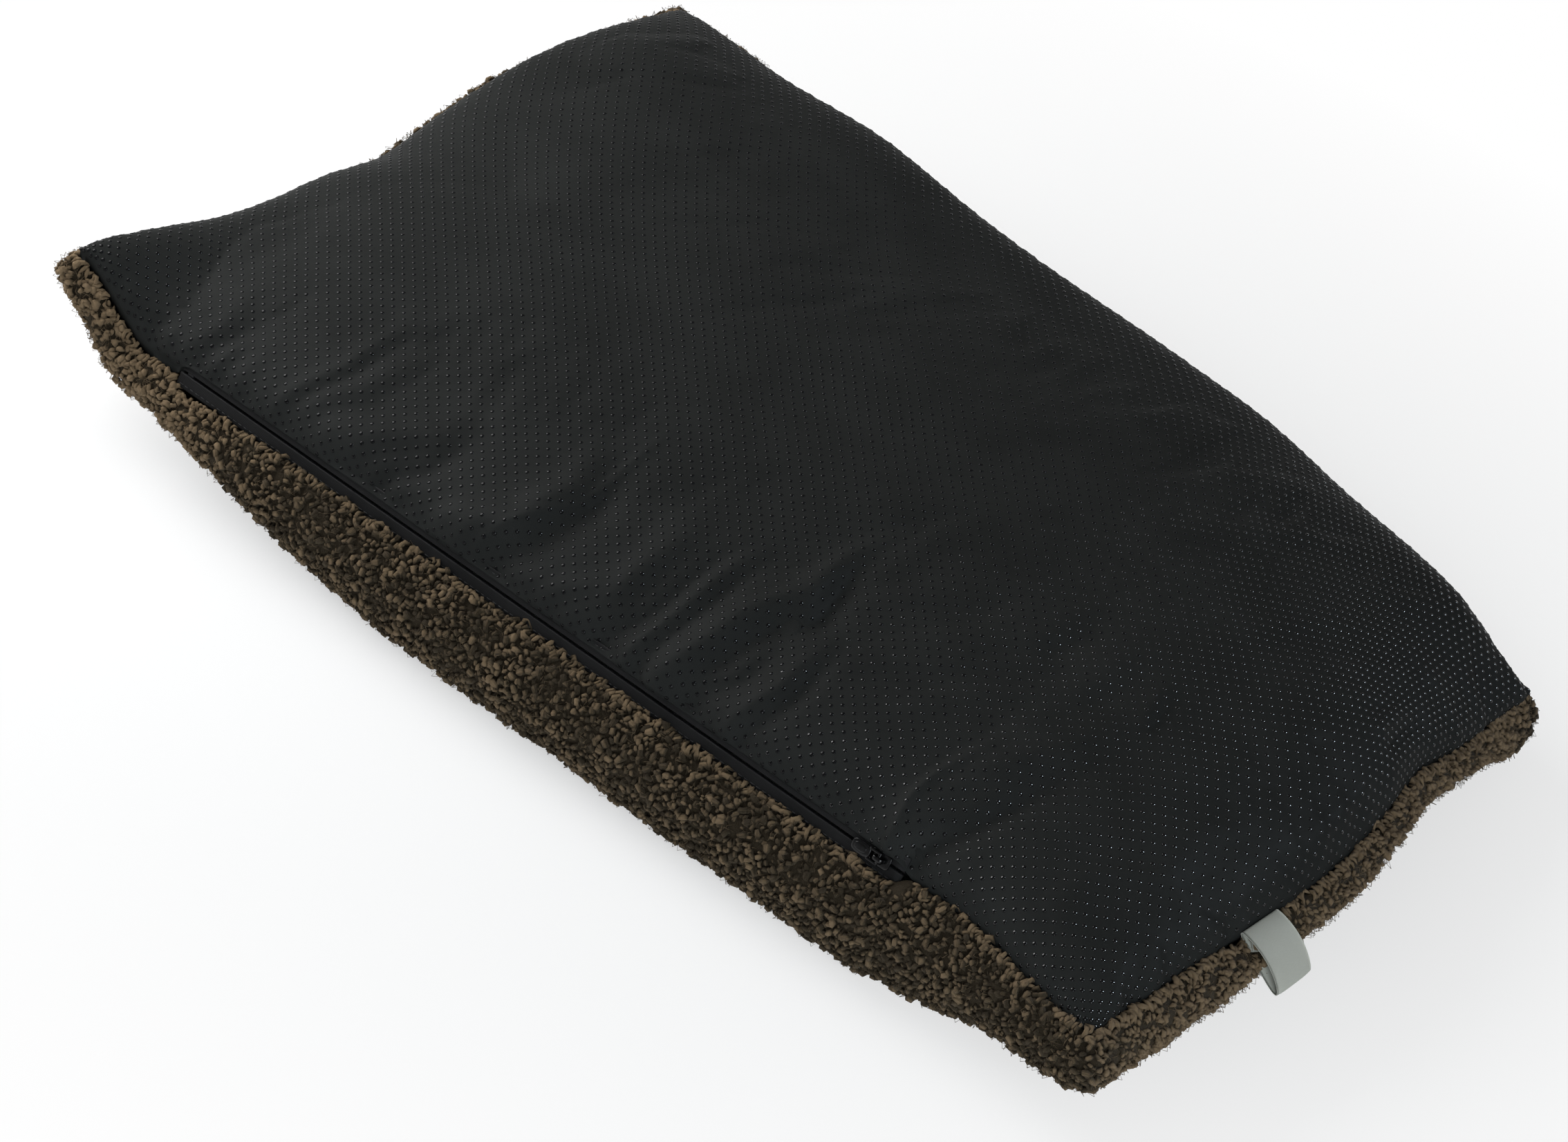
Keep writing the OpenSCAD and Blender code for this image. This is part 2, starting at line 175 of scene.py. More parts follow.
@dataclass
class Surface:
    """Points in millimetres and the faces over them, ready to become one mesh."""

    points: Array
    faces: list[Array]
    marks: dict[str, Array] = field(default_factory=dict)

    def volume(self) -> float:
        """Six times the signed volume inside the faces, with each face cut into a fan."""
        total = 0.0
        centre = self.points.mean(0)
        for block in self.faces:
            p = self.points[block] - centre
            fans = np.cross(p[:, 1:-1], p[:, 2:])
            total += float((p[:, :1] * fans).sum())
        return total

    def outward(self) -> Surface:
        """The same surface with its faces turned outward."""
        if self.volume() < 0:
            self.faces = [block[:, ::-1] for block in self.faces]
        return self


def joined(parts: list[Surface]) -> Surface:
    """Several surfaces as one, with their marks.

    Args:
        parts: Surfaces that all have the same marks.

    Returns:
        One surface with a separate island for each part.
    """
    starts = np.cumsum([0] + [len(p.points) for p in parts[:-1]])
    faces = [block + at for p, at in zip(parts, starts) for block in p.faces]
    marks = {k: np.concatenate([p.marks[k] for p in parts]) for k in parts[0].marks}
    return Surface(np.concatenate([p.points for p in parts]), faces, marks)


def grid_faces(rows: int, cols: int, loop: bool = False) -> Array:
    """Quads between neighbours of a grid.

    Args:
        rows: Number of rows of points.
        cols: Number of points in a row.
        loop: True if each row closes on itself.

    Returns:
        An array of four point numbers per quad.
    """
    index = np.arange(rows * cols).reshape(rows, cols)
    if loop:
        index = np.concatenate([index, index[:, :1]], axis=1)
    quads = np.stack([index[:-1, :-1], index[:-1, 1:], index[1:, 1:], index[1:, :-1]], axis=-1)
    return quads.reshape(-1, 4)


def grid_edge(rows: int, cols: int) -> Array:
    """Point numbers on a walk round the edge of a grid."""
    index = np.arange(rows * cols).reshape(rows, cols)
    return np.concatenate([index[:-1, 0], index[-1, :-1], index[:0:-1, -1], index[0, :0:-1]])


def fan(middle: int, ring: Array, turned: bool = False) -> Array:
    """Triangles between a middle point and the neighbours in a closed ring, turned over or not."""
    pair = [np.roll(ring, -1), ring] if turned else [ring, np.roll(ring, -1)]
    return np.stack([np.full(len(ring), middle), *pair], axis=1)


def blurred(values: Array, times: int) -> Array:
    """Values on a grid, averaged with their neighbours a number of times, with the edges kept."""
    for _ in range(times):
        for axis in (0, 1):
            turned = np.moveaxis(values, axis, 0).copy()
            turned[1:-1] = (turned[:-2] + 2 * turned[1:-1] + turned[2:]) / 4
            values = np.moveaxis(turned, 0, axis)
    return values


def skin(first: Array, rings: Array, last: Array) -> Surface:
    """Closed surface over closed rings of equal length, between two middle points.

    Args:
        first: Middle point before the first ring.
        rings: Points by ring and by place in the ring.
        last: Middle point after the last ring.

    Returns:
        The surface, facing outward.
    """
    count, n = rings.shape[:2]
    points = np.concatenate([rings.reshape(-1, 3), first[None], last[None]])
    ring = np.arange(n)
    ends = [fan(count * n, ring, turned=True), fan(count * n + 1, (count - 1) * n + ring)]
    return Surface(points, [grid_faces(count, n, loop=True), *ends]).outward()


def swept(profile: Array, origin: Array, axis_a: Array, axis_b: Array) -> Surface:
    """Closed profile carried along an open path, with its ends capped.

    Args:
        profile: Points of the profile, as amounts of the two axes.
        origin: Path points by step.
        axis_a: First direction of the profile, by step or the same all along.
        axis_b: Second direction of the profile, by step or the same all along.

    Returns:
        The surface, facing outward.
    """
    axis_a, axis_b = (np.broadcast_to(axis, origin.shape)[:, None] for axis in (axis_a, axis_b))
    points = origin[:, None] + profile[:, :1] * axis_a + profile[:, 1:] * axis_b
    steps, n = points.shape[:2]
    ring = np.arange(n)
    faces = [grid_faces(steps, n, loop=True), ring[None, ::-1], (steps - 1) * n + ring[None]]
    return Surface(points.reshape(-1, 3), faces).outward()


def round_block(half: Triple, middle: Triple, turn: float = 0.3,
                rim: float = 0.3, sides: int = 32, rings: int = 11) -> Surface:
    """Block with soft edges: a superellipsoid, the product of two rounded-square outlines.

    Args:
        half: Half sizes.
        middle: Place of its middle.
        turn: Power of the outline seen from above, from 0 square to 1 round.
        rim: Power of the outline seen from the side.
        sides: Points round it.
        rings: Rings between its two poles.

    Returns:
        The surface, facing outward.
    """
    up = np.linspace(-np.pi / 2, np.pi / 2, rings + 2)[1:-1, None]
    round_it = np.linspace(0, 2 * np.pi, sides, endpoint=False)[None]
    width = spow(np.cos(up), rim)
    shape = np.stack(np.broadcast_arrays(
        half[0] * width * spow(np.cos(round_it), turn),
        half[1] * width * spow(np.sin(round_it), turn),
        half[2] * spow(np.sin(up), rim),
    ), axis=-1)
    pole = np.array([0.0, 0.0, half[2]])
    made = skin(-pole, shape, pole)
    made.points = made.points + np.array(middle)
    return made


def capsules(base: Array, normal: Array, along: Array, length: Array | float, radius: Array | float,
             lift: Array | float, sway: Array | float, rings: int, sides: int,
             girth: Array | float = 1.0) -> tuple[Surface, Array, Array]:
    """Many bent capsules with closed ends, such as curls of pile or stitches of thread.

    A capsule's middle line runs along its own direction, rises off the base as a parabola and sways to the
    side as half a sine wave. Its radius swells towards the middle as half a sine wave.

    Args:
        base: Middle of each capsule's foot.
        normal: Direction away from the surface, for each or the same for all, as the next five.
        along: Direction of the capsule, square to the normal.
        length: Length of the capsule.
        radius: Its largest radius.
        lift: Rise of its middle off the base.
        sway: Sideways bend of its middle.
        rings: Rings of points along each.
        sides: Points in each ring.
        girth: Factor of the radius by capsule and ring, for uneven ones.

    Returns:
        The surface, and for each point its share of the way along and its angle round the capsule.
    """
    count = len(base)
    share = np.linspace(0, 1, rings)
    swell = np.sin(np.pi * (0.1 + 0.8 * share))
    normal, along = (np.broadcast_to(way, base.shape)[:, None] for way in (normal, along))
    radius = np.broadcast_to(radius, count)
    length, lift, sway = (np.broadcast_to(size, count)[:, None, None] for size in (length, lift, sway))
    side = np.cross(normal, along)
    t = share[None, :, None]
    path = (base[:, None] + along * (t - 0.5) * length + normal * lift * (1 - (2 * t - 1) ** 2)
            + side * sway * np.sin(np.pi * t))
    heading = unit(along * length + normal * lift * (4 - 8 * t) + side * sway * np.pi * np.cos(np.pi * t))
    out = unit(np.cross(heading, np.broadcast_to(side, heading.shape)))
    flank = np.cross(out, heading)
    angle = np.linspace(0, 2 * np.pi, sides, endpoint=False)
    reach = (radius[:, None] * swell * girth)[:, :, None, None]
    ring = (path[:, :, None] + reach * (np.cos(angle)[:, None] * flank[:, :, None]
                                        - np.sin(angle)[:, None] * out[:, :, None]))
    tip = radius[:, None] * swell[0]
    points = np.concatenate([
        ring.reshape(count, -1, 3), (path[:, 0] - heading[:, 0] * tip)[:, None],
        (path[:, -1] + heading[:, -1] * tip)[:, None],
    ], axis=1)
    each = rings * sides + 2
    foot = np.arange(sides)
    quads = grid_faces(rings, sides, loop=True)
    fans = np.concatenate([fan(each - 2, foot, turned=True), fan(each - 1, (rings - 1) * sides + foot)])
    starts = (np.arange(count) * each)[:, None, None]
    faces = [(quads + starts).reshape(-1, 4), (fans + starts).reshape(-1, 3)]
    along_share = np.concatenate([np.repeat(share, sides), [0.0, 1.0]])
    round_angle = np.concatenate([np.tile(angle, rings), [0.0, 0.0]])
    made = Surface(points.reshape(-1, 3), faces).outward()
    return made, np.tile(along_share, count), np.tile(round_angle, count)


@dataclass
class Field:
    """Grid of points on a surface that can be read between its points.

    The rows may close on themselves. Tangents are differences between neighbours, and the normal is their
    cross product, turned by sign.
    """

    points: Array
    loop: bool = False
    sign: float = 1.0

    def __post_init__(self) -> None:
        """Works out the tangents and the normal at each point."""
        p = self.points
        if self.loop:
            ahead = (np.roll(p, -1, axis=0) - np.roll(p, 1, axis=0)) / 2
        else:
            ahead = np.gradient(p, axis=0)
        across = np.gradient(p, axis=1)
        self.ahead = unit(ahead)
        self.normal = self.sign * unit(np.cross(ahead, across))

    def read(self, values: Array, row: Array, col: Array) -> Array:
        """Values between the grid's points, by linear steps.

        Args:
            values: One value or vector per grid point.
            row: Places along the rows, from 0.
            col: Places along the columns, from 0.

        Returns:
            The values at those places.
        """
        rows, cols = values.shape[:2]
        r0 = np.floor(row).astype(int)
        c0 = np.clip(np.floor(col).astype(int), 0, cols - 2)
        fr, fc = row - r0, col - c0
        if self.loop:
            r0, r1 = r0 % rows, (r0 + 1) % rows
        else:
            fr = row - np.clip(r0, 0, rows - 2)
            r0 = np.clip(r0, 0, rows - 2)
            r1 = r0 + 1
        if values.ndim == 3:
            fr, fc = fr[:, None], fc[:, None]
        low = values[r0, c0] * (1 - fr) + values[r1, c0] * fr
        high = values[r0, c0 + 1] * (1 - fr) + values[r1, c0 + 1] * fr
        return low * (1 - fc) + high * fc

    def frame_at(self, row: Array, col: Array) -> tuple[Array, Array, Array, Array]:
        """Points between the grid's points, with their normals and directions ahead and to the side."""
        place, normal, ahead = (self.read(of, row, col) for of in (self.points, self.normal, self.ahead))
        normal = unit(normal)
        side = unit(np.cross(normal, ahead))
        return place, normal, np.cross(side, normal), side


def make_piece(name: str, surface: Surface, material: Material, body: Body,
               stands_for: tuple[str, ...] = (), smooth: bool = True) -> bpy.types.Object:
    """Makes a mesh object of a surface, dresses it and lets it ride on a body.

    Args:
        name: Name of the piece.
        surface: Its points in millimetres, faces and marks. A mark of two numbers becomes a UV map.
        material: Its finish.
        body: Body that it rides on.
        stands_for: CAD nodes that it replaces.
        smooth: True for smooth shading of its faces with up to four corners.

    Returns:
        The new object.
    """
    mesh = bpy.data.meshes.new(name)
    corners = np.concatenate([block.ravel() for block in surface.faces]).astype(np.int32)
    totals = np.concatenate([np.full(len(block), block.shape[1]) for block in surface.faces])
    mesh.vertices.add(len(surface.points))
    mesh.vertices.foreach_set("co", (surface.points * MM).astype(np.float32).ravel())
    mesh.loops.add(len(corners))
    mesh.loops.foreach_set("vertex_index", corners)
    mesh.polygons.add(len(totals))
    mesh.polygons.foreach_set("loop_start", (np.cumsum(totals) - totals).astype(np.int32))
    mesh.update(calc_edges=True)
    mesh.polygons.foreach_set("use_smooth", smooth & (totals <= 4))
    for key, values in surface.marks.items():
        values = values.astype(np.float32)
        if values.ndim == 2 and values.shape[1] == 2:
            mesh.uv_layers.new(name=key).data.foreach_set("uv", values[corners].ravel())
        elif values.ndim == 2:
            mesh.attributes.new(key, "FLOAT_VECTOR", "POINT").data.foreach_set("vector", values.ravel())
        else:
            mesh.attributes.new(key, "FLOAT", "POINT").data.foreach_set("value", values)
    mesh.update()
    mesh.materials.append(material)
    obj = bpy.data.objects.new(name, mesh)
    bpy.context.scene.collection.objects.link(obj)
    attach(obj, body.value)
    if stands_for:
        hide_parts(*stands_for)
    triangles = int((totals - 2).sum())
    LOG.info("%s: %d triangles on %s", name, triangles, body.value)
    return obj


def set_stops(ramp: bpy.types.Node, stops: tuple[tuple[float, Table], ...]) -> None:
    """Sets the places and colours of a colour ramp.

    Args:
        ramp: The ramp's node, with its two first stops.
        stops: Places and their colours.
    """
    elements = ramp.color_ramp.elements
    for _ in stops[2:]:
        elements.new(0.5)
    for element, (place, colour) in zip(elements, stops):
        element.position = place
        element.color = (*colour, 1.0)


class Shader:
    """Node material built round one Principled shader."""

    def __init__(self, name: str, sockets: dict[str, float | Table]) -> None:
        """Makes the material and sets the shader's own sockets."""
        self.material = bpy.data.materials.new(name)
        self.material.use_nodes = True
        self.tree = self.material.node_tree
        self.main = self.tree.nodes["Principled BSDF"]
        for key, value in sockets.items():
            self.main.inputs[key].default_value = value

    def node(self, kind: str, settings: dict[str, object] | None = None,
             **inputs: object) -> bpy.types.Node:
        """Adds a node.

        Args:
            kind: Node type after "ShaderNode".
            settings: Values of the node itself.
            inputs: Values of its sockets by name, with _ for a space, or sockets to link from.

        Returns:
            The new node.
        """
        made = self.tree.nodes.new("ShaderNode" + kind)
        for key, value in (settings or {}).items():
            setattr(made, key, value)
        for key, value in inputs.items():
            self.put(made.inputs[key.replace("_", " ")], value)
        return made

    def put(self, socket: Socket, value: object) -> None:
        """Links a socket from another one, or sets its own value.

        Args:
            socket: Socket that takes the value.
            value: Socket to link from, or a value.
        """
        if isinstance(value, Socket):
            self.tree.links.new(value, socket)
        else:
            socket.default_value = value

    def combined(self, operation: str, *values: Socket | float, clamp: bool = False) -> Socket:
        """Result of a sum on sockets and numbers.

        Args:
            operation: Operation of the Math node.
            values: Its inputs in order.
            clamp: True to keep the result from 0 to 1.

        Returns:
            The result's socket.
        """
        made = self.node("Math", {"operation": operation, "use_clamp": clamp})
        for socket, value in zip(made.inputs, values):
            self.put(socket, value)
        return made.outputs[0]

    def colour(self, value: Socket, *stops: tuple[float, Table]) -> None:
        """Base colour of the shader along a value.

        Args:
            value: Socket that gives a place from 0 to 1.
            stops: Places and their colours.
        """
        made = self.node("ValToRGB", Fac=value)
        set_stops(made, stops)
        self.drive("Base Color", made.outputs["Color"])

    def rough(self, value: Socket, high: float, to_low: float, to_high: float) -> None:
        """Roughness of the shader along a value, from 0.3 up to high."""
        self.drive("Roughness", self.span(value, 0.3, high, to_low, to_high))

    def span(self, value: Socket, low: float, high: float, to_low: float, to_high: float) -> Socket:
        """The value moved from one span of numbers to another."""
        made = self.node("MapRange", Value=value)
        for key, number in (("From Min", low), ("From Max", high), ("To Min", to_low), ("To Max", to_high)):
            made.inputs[key].default_value = number
        return made.outputs["Result"]

    def object_place(self) -> Socket:
        """Object coordinates, in metres."""
        return self.node("TexCoord").outputs["Object"]

    def mark(self, name: str, output: str = "Fac") -> Socket:
        """A mark of the piece, as a number or as a vector."""
        return self.node("Attribute", {"attribute_name": name}).outputs[output]

    def noise(self, place: Socket, scale: float, detail: float = 3.0, roughness: float = 0.55) -> Socket:
        """Cloudy noise of that scale, from 0 to 1."""
        made = self.node("TexNoise", Vector=place, Scale=scale, Detail=detail, Roughness=roughness)
        return made.outputs["Fac"]

    def bands(self, place: Socket, pitch: float, direction: str) -> Socket:
        """Sine bands along an axis, slightly uneven, about one pitch apart."""
        scale = 1.0 / pitch / 6.2832 * 2
        made = self.node("TexWave", {"bands_direction": direction}, Vector=place, Scale=scale, Distortion=0.6,
                         Detail=1.0)
        return made.outputs["Fac"]

    def bump(self, height: Socket, distance: float, strength: float = 1.0) -> None:
        """Bump of the shader, on top of the bumps before it."""
        made = self.node("Bump", Height=height, Distance=distance, Strength=strength)
        earlier = self.main.inputs["Normal"].links
        if earlier:
            self.put(made.inputs["Normal"], earlier[0].from_socket)
        self.drive("Normal", made.outputs["Normal"])

    def drive(self, key: str, value: Socket) -> None:
        """Links a socket of the shader."""
        self.put(self.main.inputs[key], value)


@dataclass(frozen=True)
class AntiSlipFinish:
    """Charcoal satin fabric: fine plain weave with a faint sheen, slightly uneven."""

    dark: Triple = (0.0165, 0.0174, 0.0168)
    light: Triple = (0.0205, 0.0216, 0.0209)
    cloud_scale: float = 28.0
    roughness: float = 0.5
    patch_scale: float = 60.0
    thread: float = 0.0006
    thread_depth: float = 0.00006
    fuzz_scale: float = 420.0
    fuzz_depth: float = 0.00012

    def material(self) -> Material:
        """Builds the material on the piece's fabric UV map."""
        made = Shader("anti_slip_satin", {
            "Specular IOR Level": 0.012, "Sheen Weight": 0.003, "Sheen Roughness": 0.35,
        })
        cloth = made.node("UVMap", {"uv_map": "fabric"}).outputs["UV"]
        made.colour(made.noise(made.object_place(), self.cloud_scale), (0.3, self.dark), (0.7, self.light))
        made.rough(made.noise(cloth, self.patch_scale), 0.7, self.roughness - 0.05, self.roughness + 0.05)
        warp, weft = (made.bands(cloth, self.thread, axis) for axis in "XY")
        made.bump(made.combined("MULTIPLY", warp, weft), self.thread_depth, 0.6)
        made.bump(made.noise(cloth, self.fuzz_scale, 2.0), self.fuzz_depth, 0.5)
        return made.material


@dataclass(frozen=True)
class DotFinish:
    """Black rubber of the anti-slip dots, with faint unevenness; scuffed, or still glossy."""

    name: str = "anti_slip_rubber"
    dark: Triple = (0.0035, 0.0035, 0.0038)
    roughness: float = 0.2
    specular: float = 0.13
    paler: float = 1.7
    speck_scale: float = 900.0

    def material(self) -> Material:
        """Builds the material on Object coordinates."""
        made = Shader(self.name, {"Specular IOR Level": self.specular})
        speck = made.noise(made.object_place(), self.speck_scale)
        made.colour(speck, (0.3, self.dark), (0.8, tuple(self.paler * level for level in self.dark)))
        made.rough(speck, 0.7, self.roughness - 0.05, self.roughness + 0.06)
        return made.material


@dataclass(frozen=True)
class SherpaFinish:
    """Brown sherpa: dark roots, taupe curls and paler tips, with fibres along each curl; the dark roots are
    painted shade and the paler tips painted light.
    """

    # Colours along the curls' tone: dark roots as painted shade, pale tips as painted light
    root: Triple = (0.0042, 0.0028, 0.0013)
    middle: Triple = (0.0275, 0.02, 0.0107)
    tip: Triple = (0.195, 0.137, 0.079)
    strand_scale: Triple = (2.6, 2.6, 1.3)
    fibre_scale: float = 1.7
    fibre_share: float = 0.7
    fibre_depth: float = 0.0009
    tone_shift: float = -0.35

    def material(self) -> Material:
        """Builds the material on the curls' tone and strand marks; the tone carries painted shade and painted
        light.
        """
        made = Shader("sherpa_pile", {
            "Roughness": 0.92, "Specular IOR Level": 0.15, "Sheen Weight": 0.14, "Sheen Roughness": 0.6,
            "Sheen Tint": (0.75, 0.6, 0.42, 1.0),
        })
        strand = made.node("Mapping", Vector=made.mark("strand", "Vector"), Scale=self.strand_scale)
        fibres = made.noise(strand.outputs[0], self.fibre_scale, 4.0, 0.7)
        toned = made.combined("ADD", made.mark("tone"), self.tone_shift, clamp=True)
        mixed = made.combined("MULTIPLY_ADD", fibres, self.fibre_share, toned)
        # Low tone gives the dark root colour, painted shade, and high tone the pale tip colour, painted light
        made.colour(mixed, (0.05, self.root), (0.5, self.middle), (0.95, self.tip))
        made.bump(fibres, self.fibre_depth, 0.9)
        return made.material


@dataclass(frozen=True)
class TapeFinish:
    """Black woven zip tape: fine ribs across the tape and a faint satin shine."""

    dark: Triple = (0.004, 0.004, 0.0042)
    light: Triple = (0.008, 0.008, 0.0085)
    rib: float = 0.0005
    depth: float = 0.00008
    fuzz_scale: float = 700.0

    def material(self) -> Material:
        """Builds the material on Object coordinates."""
        made = Shader("zip_tape", {"Roughness": 0.55, "Specular IOR Level": 0.2})
        place = made.object_place()
        ribs = made.bands(place, self.rib, "X")
        made.colour(ribs, (0.1, self.dark), (0.9, self.light))
        made.bump(ribs, self.depth, 0.7)
        made.bump(made.noise(place, self.fuzz_scale), self.depth, 0.4)
        return made.material


@dataclass(frozen=True)
class GlossFinish:
    """Black painted metal or moulded nylon with small wear marks."""

    name: str = "gloss_black"
    dark: Triple = (0.0022, 0.0022, 0.0024)
    roughness: float = 0.11
    worn: Triple = (0.008, 0.008, 0.0085)
    wear_scale: float = 600.0
    wear_depth: float = 0.00003

    def material(self) -> Material:
        """Builds the material on Object coordinates."""
        made = Shader(self.name, {"Specular IOR Level": 0.28, "Coat Weight": 0.1, "Coat Roughness": 0.05})
        wear = made.noise(made.object_place(), self.wear_scale, 5.0)
        made.colour(wear, (0.5, self.dark), (0.85, self.worn))
        made.rough(wear, 0.75, self.roughness, self.roughness + 0.2)
        made.bump(wear, self.wear_depth, 0.4)
        return made.material


@dataclass(frozen=True)
class ThreadFinish:
    """Twisted sewing thread."""

    name: str
    light: Triple
    shade: float = 0.55
    twist: float = 0.0004
    slant: Triple = (0.4, 0.5, 0.7)
    depth: float = 0.0001

    def material(self) -> Material:
        """Builds the material on Object coordinates, with the twist as slanted bands."""
        made = Shader(self.name, {"Roughness": 0.6, "Specular IOR Level": 0.3, "Sheen Weight": 0.1})
        turned = made.node("Mapping", Vector=made.object_place(), Rotation=self.slant).outputs[0]
        twist = made.bands(turned, self.twist, "X")
        made.colour(twist, (0.1, tuple(self.shade * level for level in self.light)), (0.8, self.light))
        made.bump(twist, self.depth, 0.8)
        return made.material


@dataclass(frozen=True)
class LabelFinish:
    """Pale grey-green satin ribbon with fine threads across its length."""

    light: Triple = (0.465, 0.47, 0.42)
    dark: Triple = (0.405, 0.41, 0.362)
    thread_scale: Triple = (9000.0, 500.0, 1.0)
    thread_depth: float = 0.00005
    cloud_scale: float = 160.0
    roughness: Pair = (0.55, 0.7)

    def material(self) -> Material:
        """Builds the material on the ribbon's UV map."""
        matt = {"Specular IOR Level": 0.08, "Sheen Weight": 0.03, "Sheen Roughness": 0.4}
        made = Shader("label_satin", matt)
        ribbon = made.node("UVMap", {"uv_map": "ribbon"}).outputs["UV"]
        spun = made.node("Mapping", Vector=ribbon, Scale=self.thread_scale).outputs[0]
        threads = made.noise(spun, 1.0, 2.0)
        made.colour(threads, (0.25, self.dark), (0.75, self.light))
        made.rough(made.noise(ribbon, self.cloud_scale), 0.7, *self.roughness)
        made.bump(threads, self.thread_depth, 0.6)
        return made.material


@dataclass(frozen=True)
class CaseFinish:
    """White pressed polyester of the inner pad's case."""

    light: Triple = (0.72, 0.72, 0.70)
    dark: Triple = (0.58, 0.58, 0.56)
    cloud_scale: float = 90.0
    point_scale: float = 550.0
    point_depth: float = 0.0002

    def material(self) -> Material:
        """Builds the material on Object coordinates, with pressed points and soft clouds."""
        made = Shader("pad_case", {"Roughness": 0.85, "Specular IOR Level": 0.25, "Sheen Weight": 0.15})
        place = made.object_place()
        cells = made.node("TexVoronoi", {"feature": "F1"}, Vector=place, Scale=self.point_scale)
        made.colour(made.noise(place, self.cloud_scale), (0.3, self.dark), (0.7, self.light))
        made.bump(cells.outputs["Distance"], self.point_depth, 0.6)
        return made.material


@dataclass(frozen=True)
class FibreFinish:
    """White fibre filling: tangled fine strands."""

    light: Triple = (0.86, 0.86, 0.84)
    dark: Triple = (0.66, 0.66, 0.64)
    tangle_scale: float = 420.0
    tangle_depth: float = 0.0015

    def material(self) -> Material:
        """Builds the material on Object coordinates."""
        made = Shader("pad_fibre", {"Roughness": 1.0, "Specular IOR Level": 0.1, "Sheen Weight": 0.3})
        tangle = made.noise(made.object_place(), self.tangle_scale, 6.0, 0.75)
        made.colour(tangle, (0.3, self.dark), (0.7, self.light))
        made.bump(tangle, self.tangle_depth, 0.8)
        return made.material


@dataclass(frozen=True)
class FloorFinish:
    """Pale matt studio floor, which grows white away from the cushion."""

    light: Triple = (0.93, 0.93, 0.93)
    dark: Triple = (0.91, 0.91, 0.91)
    cloud_scale: float = 1.5
    white_near: float = 0.55
    white_reach: Pair = (0.2, 0.52)

    def material(self) -> Material:
        """Builds the material on Object coordinates, with the white seen by the camera and in reflections."""
        made = Shader("studio_floor", {"Roughness": 0.9, "Specular IOR Level": 0.05})
        place = made.object_place()
        made.colour(made.noise(place, self.cloud_scale), (0.3, self.dark), (0.7, self.light))
        away = made.node("VectorMath", {"operation": "LENGTH"})
        made.put(away.inputs[0], place)
        white = made.span(away.outputs["Value"], *self.white_reach, self.white_near, 1.0)
        path = made.node("LightPath").outputs
        seen = path["Is Camera Ray"]
        for ray in ("Is Glossy Ray", "Is Transmission Ray"):
            seen = made.combined("MAXIMUM", seen, path[ray])
        glow = made.node("Emission", Color=(1.0, 1.0, 1.0, 1.0), Strength=1.0)
        mix = made.node("MixShader", Fac=made.combined("MULTIPLY", white, seen))
        made.put(mix.inputs[1], made.main.outputs[0])
        made.put(mix.inputs[2], glow.outputs[0])
        made.put(made.tree.nodes["Material Output"].inputs["Surface"], mix.outputs[0])
        return made.material


